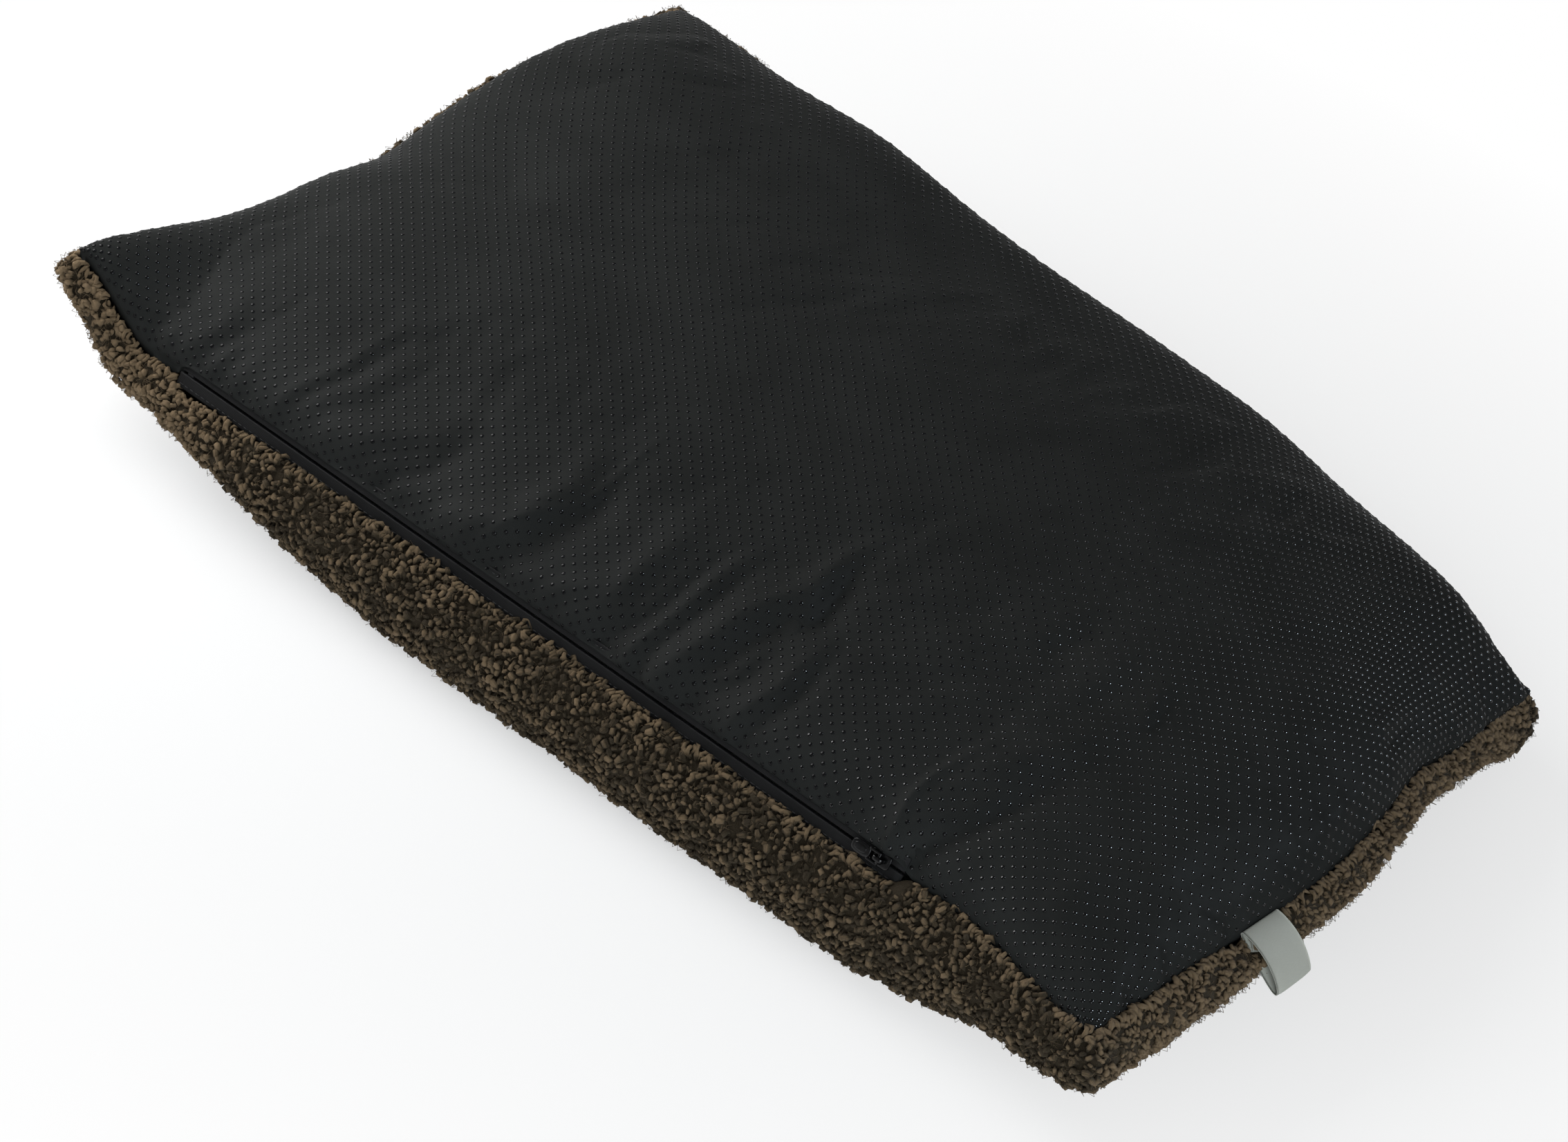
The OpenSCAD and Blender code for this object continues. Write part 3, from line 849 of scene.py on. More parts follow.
@dataclass
class CushionForm:
    """Sizes of the cushion and the formulas of its faces, as in the part's source."""

    half_len: float = 278.0
    half_wid: float = 172.0
    seam_h: float = 46.0
    crown_h: float = 37.0
    long_side_h: float = 34.0
    end_side_h: float = 15.0
    long_bulge: float = 14.0
    end_bulge: float = 11.0
    corner_near_left: Triple = (-3.0, 0.0, 24.0)
    corner_near_right: Triple = (0.0, -13.0, 0.0)
    corner_far_right: Triple = (-25.0, -37.0, -13.0)
    corner_far_left: Triple = (6.0, 18.0, 15.0)
    far_right_start: float = 0.22
    corner_tip_drop: float = 8.0
    corner_tip_start: float = 0.8
    far_left_start: float = 0.1
    end_wave: float = 15.0
    wave_at: Table = (-1, -0.8, -0.6, -0.4, -0.2, 0, 0.2, 0.4, 0.5, 0.7, 0.9, 1)
    wave_share: Table = (0, -0.6, -1, -0.67, -0.24, -0.35, 0.15, 0.7, 0.73, 0.4, 0.13, 0)
    wave_blur: float = 0.07
    end_pull: float = 11.0
    pull_at: float = 0.25
    pull_half: float = 0.5
    crown_along: float = 4.0
    crown_across: float = 2.5
    crown_round: float = 0.38
    lift_power: float = 5.0
    rest_cut: float = 0.5
    # Share of the roll's bulge that is left at its bottom edge, so that it runs on into the underside
    roll_keep: float = 0.45
    keep_start: float = 0.7
    keep_width: float = 0.3
    lip_rise: float = 0.8
    roll_turn: float = math.radians(75.0)
    end_power: float = 6.0
    corner_power: float = 8.0
    seam_gap: float = 0.9
    sherpa_t: float = 5.0
    sherpa_edge_t: float = 3.0
    panel_t: float = 1.2
    zip_from: float = -217.0
    zip_to: float = 175.0
    zip_margin: float = 3.0
    zip_ramp: float = 14.0
    zip_close: float = 5.0
    zip_rise: float = 4.26
    zip_drop: float = 5.46
    zip_clear: float = 2.6
    zip_lip_start: float = 0.8
    zip_lip_width: float = 0.2
    panel_edge_out: float = 0.6
    # Walk from the near left corner, one unit per edge: how much higher and fuller the roll is there
    walk_length: float = 4.0
    fuller_blur: float = 0.02
    fuller_at: Table = (0, 0.04, 0.09, 0.145, 0.2, 0.275, 0.35, 0.45, 0.75, 0.85, 0.89, 0.93, 1, 1.1, 1.2,
                        1.3, 1.5, 1.7, 1.85, 1.95, 2, 2.08, 2.2, 3.8, 4)
    fuller_height: Table = (3, 2, -5, -5, 2, 8, 11.5, 12, 12.5, 13.5, 7, 1.5, 8, 6, 5, 2, -1, -2, -2, 9, 14,
                            5, 0, 0, 3)
    fuller_bulge: Table = (-2, -1, -3, -2, 0, 1.5, 3, 4, 4, 4, 2, 0.5, 3, 3, 2.5, 1, -1, -2, -3, -3, -3, -1,
                           0, 0, -2)
    # Where the lip of the roll is tucked below the anti-slip face, and pressed flat below the label
    tuck_at: Table = (0, 0.1, 0.2, 1.2, 1.235, 1.315, 1.35, 2.06, 2.2, 2.9, 3.1, 3.3, 3.45, 3.6, 4)
    tuck_depth: Table = (6, 4.5, 0, 0, 4, 4, 0, 0, 3.5, 3.5, 4, 4, 3, 4, 6)
    tuck_blur: float = 0.04

    def corner_shift(self, u: Array, v: Array) -> Array:
        """Shift of the sewn sheet towards its four corners: each corner's shift times its eased share.

        Args:
            u: Shares along the length, from -1 to 1.
            v: Shares across the width, from -1 to 1.

        Returns:
            A vector per place.
        """
        ramp = self.zip_ramp / self.half_len
        first = (self.zip_from - self.zip_margin) / self.half_len
        last = (self.zip_to + self.zip_margin) / self.half_len
        total = np.zeros(np.broadcast(u, v).shape + (3,))
        tip = np.array([0.0, 0.0, self.corner_tip_drop])
        for side_x, side_y, start, shift in (
            (-1, -1, ramp - first, self.corner_near_left), (1, -1, last + ramp, self.corner_near_right),
            (1, 1, self.far_right_start, np.array(self.corner_far_right) + tip),
            (1, 1, self.corner_tip_start, -tip),
            (-1, 1, self.far_left_start, self.corner_far_left),
        ):
            share = ease((np.abs(u) - start) / (1 - start)) * ease(np.abs(v))
            share = np.where((u * side_x > 0) & (v * side_y > 0), share, 0.0)
            total += share[..., None] * np.array(shift)
        return total

    def wave(self, u: Array, v: Array) -> Array:
        """Height of the wave in the left seam, read from its table, which dies out away from the seam."""
        share = soft_read(v, self.wave_at, self.wave_share, self.wave_blur)
        return self.end_wave * np.maximum(0, -u) ** self.end_power * share

    def pull(self, u: Array, v: Array) -> Array:
        """How far the right seam is drawn in: an eased hump along the seam, which dies out away from it."""
        hump = ease(1 - np.abs(v - self.pull_at) / self.pull_half)
        return self.end_pull * np.maximum(0, u) ** self.end_power * hump

    def seam(self, u: Array, v: Array) -> Array:
        """Sewn sheet without its crown: the outline drawn in, raised by the wave, its corners shifted."""
        u, v = np.broadcast_arrays(u, v)
        x = u * self.half_len - self.pull(u, v)
        flat = np.stack([x, v * self.half_wid, self.seam_h + self.wave(u, v)], axis=-1)
        return flat + self.corner_shift(u, v)

    def crown(self, u: Array, v: Array) -> Array:
        """Share of the crown's height: the product of two rounded-square profiles, rounded by a power."""
        inside = (1 - np.abs(u) ** self.crown_along) * (1 - np.abs(v) ** self.crown_across)
        return np.maximum(0, inside) ** self.crown_round

    def zip_share(self, u: Array) -> Array:
        """1 along the zip's opening, eased to 0 at its two ends."""
        first = (self.zip_from - self.zip_close) / self.half_len
        last = (self.zip_to + self.zip_close) / self.half_len
        ramp = 2 * self.zip_close / self.half_len
        return ease((u - first) / ramp) * ease((last - u) / ramp)

    def panel(self, u: Array, v: Array) -> Array:
        """Anti-slip face: the seam sheet plus its crown, with its edge lifted and moved out along the zip."""
        lip = self.zip_share(u) * ease((-v - self.zip_lip_start) / self.zip_lip_width)
        place = self.seam(u, v)
        place[..., 1] -= self.panel_edge_out * lip
        place[..., 2] += np.hypot(self.zip_rise * lip, self.crown_h * self.crown(u, v))
        return place

    def outward(self, u: Array, v: Array) -> Array:
        """Level direction away from the middle, turned from one edge's to the next one's at a corner."""
        d = np.stack([spow(u, self.corner_power), spow(v, self.corner_power), np.zeros_like(u)], axis=-1)
        return unit(d)

    def long_share(self, u: Array) -> Array:
        """1 in the middle of the long edges and 0 at the ends."""
        return 1 - np.abs(u) ** self.end_power

    def place_round(self, u: Array, v: Array) -> Array:
        """Place on the walk round the edge, from 0 at the near left corner to 4."""
        return np.select([v <= -1, u >= 1, v >= 1], [(u + 1) / 2, 1 + (v + 1) / 2, 2 + (1 - u) / 2],
                         3 + (1 - v) / 2)

    def fuller(self, u: Array, v: Array, end: float, long: float, table: Table) -> Array:
        """Size of the sherpa roll: plain at each edge, and more or less by a table of the walk."""
        plain = end + (long - end) * self.long_share(u)
        place = self.place_round(u, v)
        return plain + soft_read(place, self.fuller_at, table, self.fuller_blur, self.walk_length)

    def side_height(self, u: Array, v: Array) -> Array:
        """Height of the sherpa roll below the seam."""
        return self.fuller(u, v, self.end_side_h, self.long_side_h, self.fuller_height)

    def bulge(self, u: Array, v: Array) -> Array:
        """How far the sherpa roll bulges out of the seam."""
        return self.fuller(u, v, self.end_bulge, self.long_bulge, self.fuller_bulge)

    def tuck(self, u: Array, v: Array) -> Array:
        """How far the roll's lip lies below its usual height."""
        place = self.place_round(u, v)
        return soft_read(place, self.tuck_at, self.tuck_depth, self.tuck_blur, self.walk_length)

    def roll_low(self, u: Array, v: Array) -> Array:
        """Height of the roll's bottom edge above the floor."""
        return np.maximum(0, self.seam(u, v)[..., 2] - self.side_height(u, v))

    def roll(self, u: Array, v: Array, turn: Array, depth: float, edge_depth: float) -> Array:
        """Sherpa roll: an arc from the lip, over its bulge, to the bottom edge.

        Args:
            u: Shares along the length on the edge.
            v: Shares across the width on the edge.
            turn: Shares of the roll's turn, from 1 at the lip to -1 at the bottom.
            depth: How deep below the pile's surface.
            edge_depth: How deep below the lip.

        Returns:
            A point per place.
        """
        s = self.seam(u, v)
        z = self.zip_share(u) * (v < -ON_EDGE)
        phi = turn * self.roll_turn
        out = (np.cos(phi) - math.cos(self.roll_turn)) / (1 - math.cos(self.roll_turn))
        out = out + self.roll_keep * (1 - out) * ease(-turn)
        down = (math.sin(self.roll_turn) - np.sin(phi)) / (2 * math.sin(self.roll_turn))
        top = s[..., 2] + self.lip_rise - z * self.zip_drop - edge_depth - self.tuck(u, v)
        bottom = self.roll_low(u, v) + depth
        reach = self.seam_gap + z * self.zip_clear + (self.bulge(u, v) - depth) * out
        s[..., 2] = top + (bottom - top) * down
        return s + reach[..., None] * self.outward(u, v)

    def under(self, u: Array, v: Array, s: Array, rise: Array | float = 0.0) -> Array:
        """Underside at a share s of the way to the edge place u, v: level, and lifted at the edge."""
        lift = self.roll_low(u, v) * s**self.lift_power - self.rest_cut
        place = self.seam(s * u, s * v)
        kept = self.roll_keep * self.bulge(u, v) * ease((s - self.keep_start) / self.keep_width)
        place += kept[..., None] * self.outward(u, v)
        place[..., 2] = np.maximum(0, lift) + rise
        return place

    def walk(self, counts: tuple[int, int]) -> tuple[Array, Array]:
        """Walk round the edge of the square u, v from -1 to 1, from the near left corner.

        Args:
            counts: Steps along a long edge and along a short edge.

        Returns:
            u and v of each step.
        """
        along = np.linspace(-1, 1, counts[0], endpoint=False)
        across = np.linspace(-1, 1, counts[1], endpoint=False)
        u = np.concatenate([along, np.ones_like(across), -along, -np.ones_like(across)])
        v = np.concatenate([-np.ones_like(along), across, np.ones_like(along), -across])
        return u, v


@dataclass(frozen=True)
class Crease:
    """Crease in the anti-slip fabric, from its start to its end on the cloth, in millimetres."""

    height: float
    width: float
    line: tuple[tuple[float, float], ...]
    fold: Fold = Fold.STEP


CLOTH_HALF = (300.0, 176.0)
CREASES: tuple[Crease, ...] = (
    Crease(0.74, 3.5, ((-271, -176), (-266, -174), (-259, -166))),
    Crease(0.74, 3.5, ((-259, -176), (-256, -164))),
    Crease(0.74, 3.5, ((-244, -175), (-247, -167))),
    Crease(1.47, 6.2, ((-233, -175), (-226, -160), (-222, -135))),
    Crease(0.74, 3.5, ((-217, -176), (-212, -157))),
    Crease(0.88, 3.5, ((-177, -170), (-167, -146), (-164, -107))),
    Crease(0.59, 5.3, ((-171, -175), (-151, -153), (-138, -93))),
    Crease(1.77, 7.0, ((-146, -176), (-132, -170), (-104, -150), (-105, -125))),
    Crease(0.88, 4.0, ((-137, -176), (-118, -172), (-107, -158))),
    Crease(0.88, 4.0, ((-119, -176), (-103, -161), (-101, -147))),
    Crease(0.59, 3.1, ((-108, -176), (-95, -173))),
    Crease(0.59, 3.5, ((-81, -176), (-68, -168))),
    Crease(3.51, 7.9, ((-63, -176), (-45, -164), (-38, -134), (-48, -104))),
    Crease(1.17, 2.2, ((-59, -176), (-36, -136), (-44, -71)), Fold.RIDGE),
    Crease(0.94, 3.1, ((-35, -176), (-19, -173))),
    Crease(1.17, 4.0, ((-16, -176), (-2, -166), (4, -157))),
    Crease(2.58, 7.0, ((2, -176), (14, -161), (14, -141), (14, -106))),
    Crease(1.64, 4.4, ((12, -176), (25, -159), (24, -119), (30, -106))),
    Crease(1.64, 4.4, ((35, -175), (38, -152), (38, -114), (40, -95))),
    Crease(3.28, 7.0, ((56, -176), (62, -157), (64, -130), (73, -113), (68, -76))),
    Crease(1.41, 4.4, ((64, -176), (77, -159), (77, -128))),
    Crease(1.87, 4.0, ((93, -175), (99, -155), (96, -121))),
    Crease(1.41, 4.4, ((76, -113), (67, -84), (71, -52))),
    Crease(1.84, 2.3, ((178, -174), (173, -159), (174, -145), (179, -116)), Fold.RIDGE),
    Crease(1.94, 7.9, ((185, -162), (209, -90), (213, -71))),
    Crease(1.94, 4.4, ((188, -170), (198, -154), (210, -110))),
    Crease(0.95, 6.6, ((155, -60), (156, -22))),
    Crease(0.9, 6.6, ((186, -66), (187, -26))),
    Crease(0.81, 3.5, ((213, -61), (205, -35))),
    Crease(0.94, 3.5, ((298, -156), (285, -140))),
    Crease(0.94, 3.5, ((299, -134), (287, -128))),
    Crease(0.94, 3.5, ((300, -98), (288, -108))),
    Crease(0.94, 3.5, ((300, -58), (290, -64))),
    Crease(0.94, 3.5, ((294, -35), (291, 19))),
    Crease(1.17, 4.4, ((282, 34), (284, 78))),
)


@dataclass
class AntiSlipPanel:
    """Anti-slip face: crowned satin fabric with gathers along the zip and small rubber dots."""

    form: CushionForm
    finish: AntiSlipFinish = AntiSlipFinish()
    dot_finish: DotFinish = DotFinish()
    glossy_dot_finish: DotFinish = DotFinish("anti_slip_rubber_glossy", (0.0016, 0.0016, 0.0018), 0.1, 0.36)
    glossy_from: float = 70.0
    dots_part: float = -80.0
    glossy_fade: float = 130.0
    along: int = 350
    across: int = 220
    edge_hold: float = 5.0
    pucker_height: float = 0.45
    pucker_pitch: Triple = (15.0, 17.0, 19.0)
    pucker_seeds: tuple[int, int, int] = (21, 22, 24)
    pucker_slant: float = 0.25
    pucker_fade: float = 13.0
    right_pucker: float = 0.75
    right_fade: float = 26.0
    swell_height: float = 0.7
    swell_pitch: float = 95.0
    swell_seed: int = 23
    # Along the far edge: how much fuller the face is there
    far_at: Table = (-1, -0.82, -0.68, -0.58, -0.42, -0.2, 0.1, 0.3, 0.45, 0.6, 0.75, 0.93, 1)
    far_lift: Table = (0, -4, -2, 4, 7, 5.5, 3.5, 1, -0.5, 4.5, 7, 7, 2)
    far_blur: float = 0.08
    far_reach: float = 40.0
    settle_counts: tuple[int, int] = (141, 89)
    slack_drop: float = 4.0
    slack_share: float = 0.02
    settle_cap: float = 2.0
    settle_sink: float = 0.3
    settle_margin: float = 6.0
    settle_frames: int = 20
    settle_blur: int = 60
    hem: float = 1.2
    # Along the zip the hem is cut back by this share, from this steep start
    hem_cut: float = 0.6
    hem_cut_slope: float = 8.0
    rim_shares: Table = (0.996, 0.985, 0.96, 0.9, 0.8, 0.6, 0.4, 0.2)
    rim_reach: float = 0.1
    inner_drop: float = 4.0
    dot_pitch: float = 6.19
    dot_radius: float = 1.0
    dot_height: float = 0.26
    dot_margin: float = 2.2
    dot_sides: int = 8
    dome_spread: Pair = (1.0, 0.7)
    dome_rise: Pair = (-0.3, 0.72)
    dot_seed: int = 57
    cloth_len: float = field(init=False)
    cloth_wid: float = field(init=False)
    grid_u: Array = field(init=False)
    grid_v: Array = field(init=False)
    face: Field = field(init=False)

    def even_steps(self, half: float, power: float, count: int) -> tuple[Array, float]:
        """Shares from -1 to 1 at even steps of length along the crown's middle line.

        Args:
            half: Half size of the face along this axis.
            power: The crown's power along this axis.
            count: Number of steps.

        Returns:
            The shares, and the whole length of the middle line.
        """
        fine = np.sin(np.linspace(-np.pi / 2, np.pi / 2, 6001))
        rise = self.form.crown_h * np.maximum(0, 1 - np.abs(fine) ** power) ** self.form.crown_round
        length = np.concatenate([[0], np.cumsum(np.hypot(np.diff(half * fine), np.diff(rise)))])
        return np.interp(np.linspace(0, length[-1], count), length, fine), float(length[-1])

    def crease_height(self, x: Array, y: Array, crease: Crease) -> Array:
        """Height of one crease on the cloth.

        Across a step crease the height is the slope of a bell curve, high on the left and low on the right.
        Across a ridge it is the bell curve. Along the crease it stays full at first and then dies out.

        Args:
            x: Places on the cloth along the length.
            y: Places on the cloth across the width.
            crease: The crease.

        Returns:
            A height per place.
        """
        knots = np.array(crease.line, float)
        run = run_along(knots)
        even = np.linspace(0, run[-1], 40)
        line = np.stack([np.interp(even, run, knots[:, k]) for k in (0, 1)], axis=-1)
        for _ in range(6):
            line[1:-1] = (line[:-2] + 2 * line[1:-1] + line[2:]) / 4
        height = np.zeros(x.shape)
        reach = 4 * crease.width
        low, high = line.min(0) - reach, line.max(0) + reach
        near = (x > low[0]) & (x < high[0]) & (y > low[1]) & (y < high[1])
        place = np.stack([x[near], y[near]], axis=-1)
        closest = ((place[:, None] - line[None]) ** 2).sum(-1).argmin(1)
        heading = unit(np.gradient(line, axis=0))
        offset = place - line[closest]
        head = heading[closest]
        side = (head[:, 0] * offset[:, 1] - head[:, 1] * offset[:, 0]) / crease.width
        ahead = closest / (len(line) - 1) + (offset * head).sum(-1) / run[-1]
        fade = ease((1.12 - ahead) / 0.7) * ease((ahead + 0.3) / 0.3)
        if crease.fold is Fold.STEP:
            shape = side * np.exp(0.5 - 0.5 * side**2)
        else:
            shape = np.exp(-(side**2))
        height[near] = crease.height * fade * shape
        return height

    def settled(self, counts: tuple[int, int]) -> Array:
        """Wrinkles of the face: cloth of its shape, a little too large, is blown up by the pad.

        The face starts lower than its crown, held along its seams, and swells under pressure with no gravity.
        The broad part of the movement is taken off again, so that the form stays. Each point's way is capped,
        and the mesh of the simulation is removed.

        Args:
            counts: Rows and columns of the coarse mesh.

        Returns:
            A vector per point of the coarse mesh.
        """
        form = self.form
        u, _ = self.even_steps(form.half_len, form.crown_along, counts[0])
        v, _ = self.even_steps(form.half_wid, form.crown_across, counts[1])
        smooth = form.panel(*np.meshgrid(u, v, indexing="ij"))
        inside = np.minimum.outer(*[np.minimum(np.arange(n), n - 1 - np.arange(n)) for n in counts])
        drop = self.slack_drop * ease(inside / self.settle_margin)
        start = smooth - Field(smooth).normal * drop[..., None]
        mesh = bpy.data.meshes.new("settling")
        mesh.from_pydata((start.reshape(-1, 3) * MM).tolist(), [], grid_faces(*counts)[:, ::-1].tolist())
        cloth = bpy.data.objects.new("settling", mesh)
        bpy.context.scene.collection.objects.link(cloth)
        held = cloth.vertex_groups.new(name="held")
        held.add(np.flatnonzero(inside.ravel() < 2).tolist(), 1.0, "REPLACE")
        simulation = cloth.modifiers.new("settling", "CLOTH")
        settings = {
            "quality": 6, "mass": 0.2, "air_damping": 4.0, "bending_stiffness": 0.4,
            "vertex_group_mass": "held", "shrink_min": -self.slack_share, "use_pressure": True,
            "uniform_pressure_force": 4.0,
        }
        for key, value in settings.items():
            setattr(simulation.settings, key, value)
        simulation.settings.effector_weights.gravity = 0.0
        simulation.collision_settings.use_collision = False
        simulation.point_cache.frame_start = 1
        simulation.point_cache.frame_end = self.settle_frames
        scene = bpy.context.scene
        for frame in range(self.settle_frames):
            scene.frame_set(frame + 1)
        result = cloth.evaluated_get(bpy.context.evaluated_depsgraph_get()).data
        moved = np.empty(start.size, np.float32)
        result.vertices.foreach_get("co", moved)
        moved = moved.reshape(start.shape).astype(float) / MM - smooth
        scene.frame_set(1)
        bpy.data.objects.remove(cloth)
        bpy.data.meshes.remove(mesh)
        moved = (moved - blurred(moved, self.settle_blur)) * ease(inside / self.settle_margin)[..., None]
        way = np.linalg.norm(moved, axis=-1, keepdims=True)
        LOG.info("wrinkles of the settled cloth reach %.1f mm", way.max())
        return moved * np.minimum(1, self.settle_cap / np.maximum(way, 1e-6))

    def surface_grid(self) -> tuple[Array, Array, Array]:
        """Places of the face on an even grid over the cloth, with its gathers, swells and creases.

        Returns:
            The points, and the cloth's coordinates along both axes.
        """
        form = self.form
        u, self.cloth_len = self.even_steps(form.half_len, form.crown_along, self.along)
        v, self.cloth_wid = self.even_steps(form.half_wid, form.crown_across, self.across)
        self.grid_u, self.grid_v = u, v
        grid_u, grid_v = np.meshgrid(u, v, indexing="ij")
        smooth = form.panel(grid_u, grid_v)
        x, y = grid_u * CLOTH_HALF[0], grid_v * CLOTH_HALF[1]
        cloth_x = np.linspace(-self.cloth_len / 2, self.cloth_len / 2, self.along)
        cloth_y = np.linspace(-self.cloth_wid / 2, self.cloth_wid / 2, self.across)
        from_edge_y = (self.cloth_wid / 2 - np.abs(cloth_y))[None, :]
        from_edge_x = (self.cloth_len / 2 - np.abs(cloth_x))[:, None]
        height = sum(self.crease_height(x, y, crease) for crease in CREASES)
        slant = cloth_y[None] + self.pucker_slant * cloth_x[:, None]
        lines = (cloth_x[:, None], cloth_y[:, None], slant[..., None])
        along, across, slanted = map(ripple, lines, self.pucker_pitch, self.pucker_seeds)
        gather = along[:, None] * np.exp(-from_edge_y / self.pucker_fade)
        gather = gather + across[None] * np.exp(-from_edge_x / self.pucker_fade)
        right_edge = np.exp(-(self.cloth_len / 2 - cloth_x) / self.right_fade)[:, None]
        gather = gather + self.right_pucker / self.pucker_height * slanted * right_edge
        swell = ripple(np.stack([x, y], axis=-1), self.swell_pitch, self.swell_seed)
        height = height + self.pucker_height * gather + self.swell_height * swell
        from_far = form.half_wid * (1 - grid_v)
        fuller = soft_read(grid_u, self.far_at, self.far_lift, self.far_blur)
        height = height + fuller * np.exp(-((from_far / self.far_reach) ** 2))
        hold = ease(from_edge_y / self.edge_hold) * ease(from_edge_x / self.edge_hold)
        coarse = Field(self.settled(self.settle_counts))
        fine = (self.along, self.across)
        spots = lattice(*[np.linspace(0, n - 1, m) for n, m in zip(self.settle_counts, fine)])
        moved = blurred(coarse.read(coarse.points, *spots).reshape(smooth.shape), 2)
        normal = Field(smooth).normal
        sunk = np.minimum(0, (moved * normal).sum(-1) + self.settle_sink)
        smooth = smooth + moved - normal * sunk[..., None]
        normal = Field(smooth).normal
        return smooth + normal * (height * hold)[..., None], cloth_x, cloth_y

    def build(self) -> None:
        """Makes the fabric, with its hem and inner side, and the dots on it."""
        points, cloth_x, cloth_y = self.surface_grid()
        self.face = Field(points)
        cover = self.fabric(points, cloth_x, cloth_y)
        panel = make_piece("anti_slip_fabric", cover, self.finish.material(), Body.COVER,
                           ("anti_slip_panel",))
        scuffed, glossy = self.dot_finish.material(), self.glossy_dot_finish.material()
        for rubber, (name, part) in zip((scuffed, scuffed, glossy), self.dots()):
            make_piece(name, part, rubber, Body.COVER)

    def fabric(self, points: Array, cloth_x: Array, cloth_y: Array) -> Surface:
        """Closed fabric: the face, and rings inside it from its edge to the middle.

        Args:
            points: Places of the face by grid row and column.
            cloth_x: Coordinates of the rows on the cloth.
            cloth_y: Coordinates of the columns on the cloth.

        Returns:
            The surface with the fabric UV map.
        """
        rows, cols = points.shape[:2]
        edge = grid_edge(rows, cols)
        cloth = np.stack(lattice(cloth_x, cloth_y), axis=-1)
        flat = points.reshape(-1, 3)
        shares = np.array(self.rim_shares)
        row, col = np.divmod(edge, cols)
        middle = np.array([(rows - 1) / 2, (cols - 1) / 2])
        ring_row = middle[0] + (row - middle[0]) * shares[:, None]
        ring_col = middle[1] + (col - middle[1]) * shares[:, None]
        ring = self.face.read(points, ring_row.ravel(), ring_col.ravel())
        inward = ease((1 - shares) / self.rim_reach)[:, None]
        edge_u, edge_v = self.grid_u[row], self.grid_v[col]
        along_zip = np.minimum(self.hem_cut_slope * self.form.zip_share(edge_u), 1) * (edge_v < -ON_EDGE)
        rim = self.hem * (1 - self.hem_cut * along_zip) + self.form.tuck(edge_u, edge_v) * (1 - along_zip)
        drop = rim + (self.inner_drop - rim) * inward
        ring = ring.reshape(len(shares), len(edge), 3) - UP * drop[..., None]
        ring_cloth = cloth[edge][None] * shares[:, None, None]
        centre = points[rows // 2, cols // 2] - UP * self.inner_drop
        all_points = np.concatenate([flat, ring.reshape(-1, 3), centre[None]])
        all_cloth = np.concatenate([cloth, ring_cloth.reshape(-1, 2), np.zeros((1, 2))]) * MM
        n, start = len(edge), rows * cols
        strip = np.concatenate([edge[None], start + np.arange(len(shares) * n).reshape(len(shares), n)])
        strip = np.concatenate([strip, strip[:, :1]], axis=1)
        quads = np.stack([strip[:-1, :-1], strip[1:, :-1], strip[1:, 1:], strip[:-1, 1:]], axis=-1)
        close = np.stack([strip[-1, :-1], np.full(n, len(all_points) - 1), strip[-1, 1:]], axis=-1)
        faces = [grid_faces(rows, cols)[:, ::-1], quads.reshape(-1, 4), close]
        return Surface(all_points, faces, {"fabric": all_cloth}).outward()

    def dots(self) -> list[tuple[str, Surface]]:
        """Low rubber domes on a square lattice turned 45 degrees, standing on the fabric.

        A dome has two rings and a top point, and its foot is closed. Dots to the right are glossier, mixed by
        chance over a stretch.

        Returns:
            Names and surfaces of the left, middle and right dots.
        """
        step = self.dot_pitch / 2
        counts = [int((size / 2 - self.dot_margin) / step) for size in (self.cloth_len, self.cloth_wid)]
        i, j = lattice(*[np.arange(-count, count + 1) for count in counts])
        keep = (i + j) % 2 == 0
        x, y = i[keep] * step, j[keep] * step
        row = (x / self.cloth_len + 0.5) * (self.along - 1)
        col = (y / self.cloth_wid + 0.5) * (self.across - 1)
        place, normal, ahead, side = self.face.frame_at(row, col)
        angle = np.linspace(0, 2 * np.pi, self.dot_sides, endpoint=False)
        spread = np.array(self.dome_spread)
        rise = np.array(self.dome_rise) * self.dot_height
        disc = np.cos(angle)[:, None] * ahead[:, None] + np.sin(angle)[:, None] * side[:, None]
        rings = (place[:, None, None] + normal[:, None, None] * rise[:, None, None]
                 + self.dot_radius * spread[:, None, None] * disc[:, None])
        top = place + normal * self.dot_height
        n = self.dot_sides
        points = np.concatenate([rings.reshape(len(place), -1, 3), top[:, None]], axis=1)
        here = np.arange(n)
        after = (here + 1) % n
        dome = np.stack([n + here, n + after, np.full(n, 2 * n)], axis=1)
        blocks = [grid_faces(2, n, loop=True), dome, here[None, ::-1]]
        parts = []
        chance = np.random.default_rng(self.dot_seed).uniform(size=len(x))
        glossy = chance < ease((x - self.glossy_from) / self.glossy_fade)
        left = x < self.dots_part
        sets = {"left": ~glossy & left, "middle": ~glossy & ~left, "right": glossy}
        for name, chosen in sets.items():
            own = points[chosen]
            start = (np.arange(len(own)) * (2 * n + 1))[:, None, None]
            faces = [(block + start).reshape(-1, block.shape[1]) for block in blocks]
            parts.append((f"anti_slip_dots_{name}", Surface(own.reshape(-1, 3), faces).outward()))
        return parts


@dataclass(frozen=True)
class CurlKind:
    """Kind of curl: its pitch and sizes, and its middle tone, with one radius for all or not."""

    pitch: float
    length: float
    radius: float
    lift: float
    tone: float
    even: bool = False


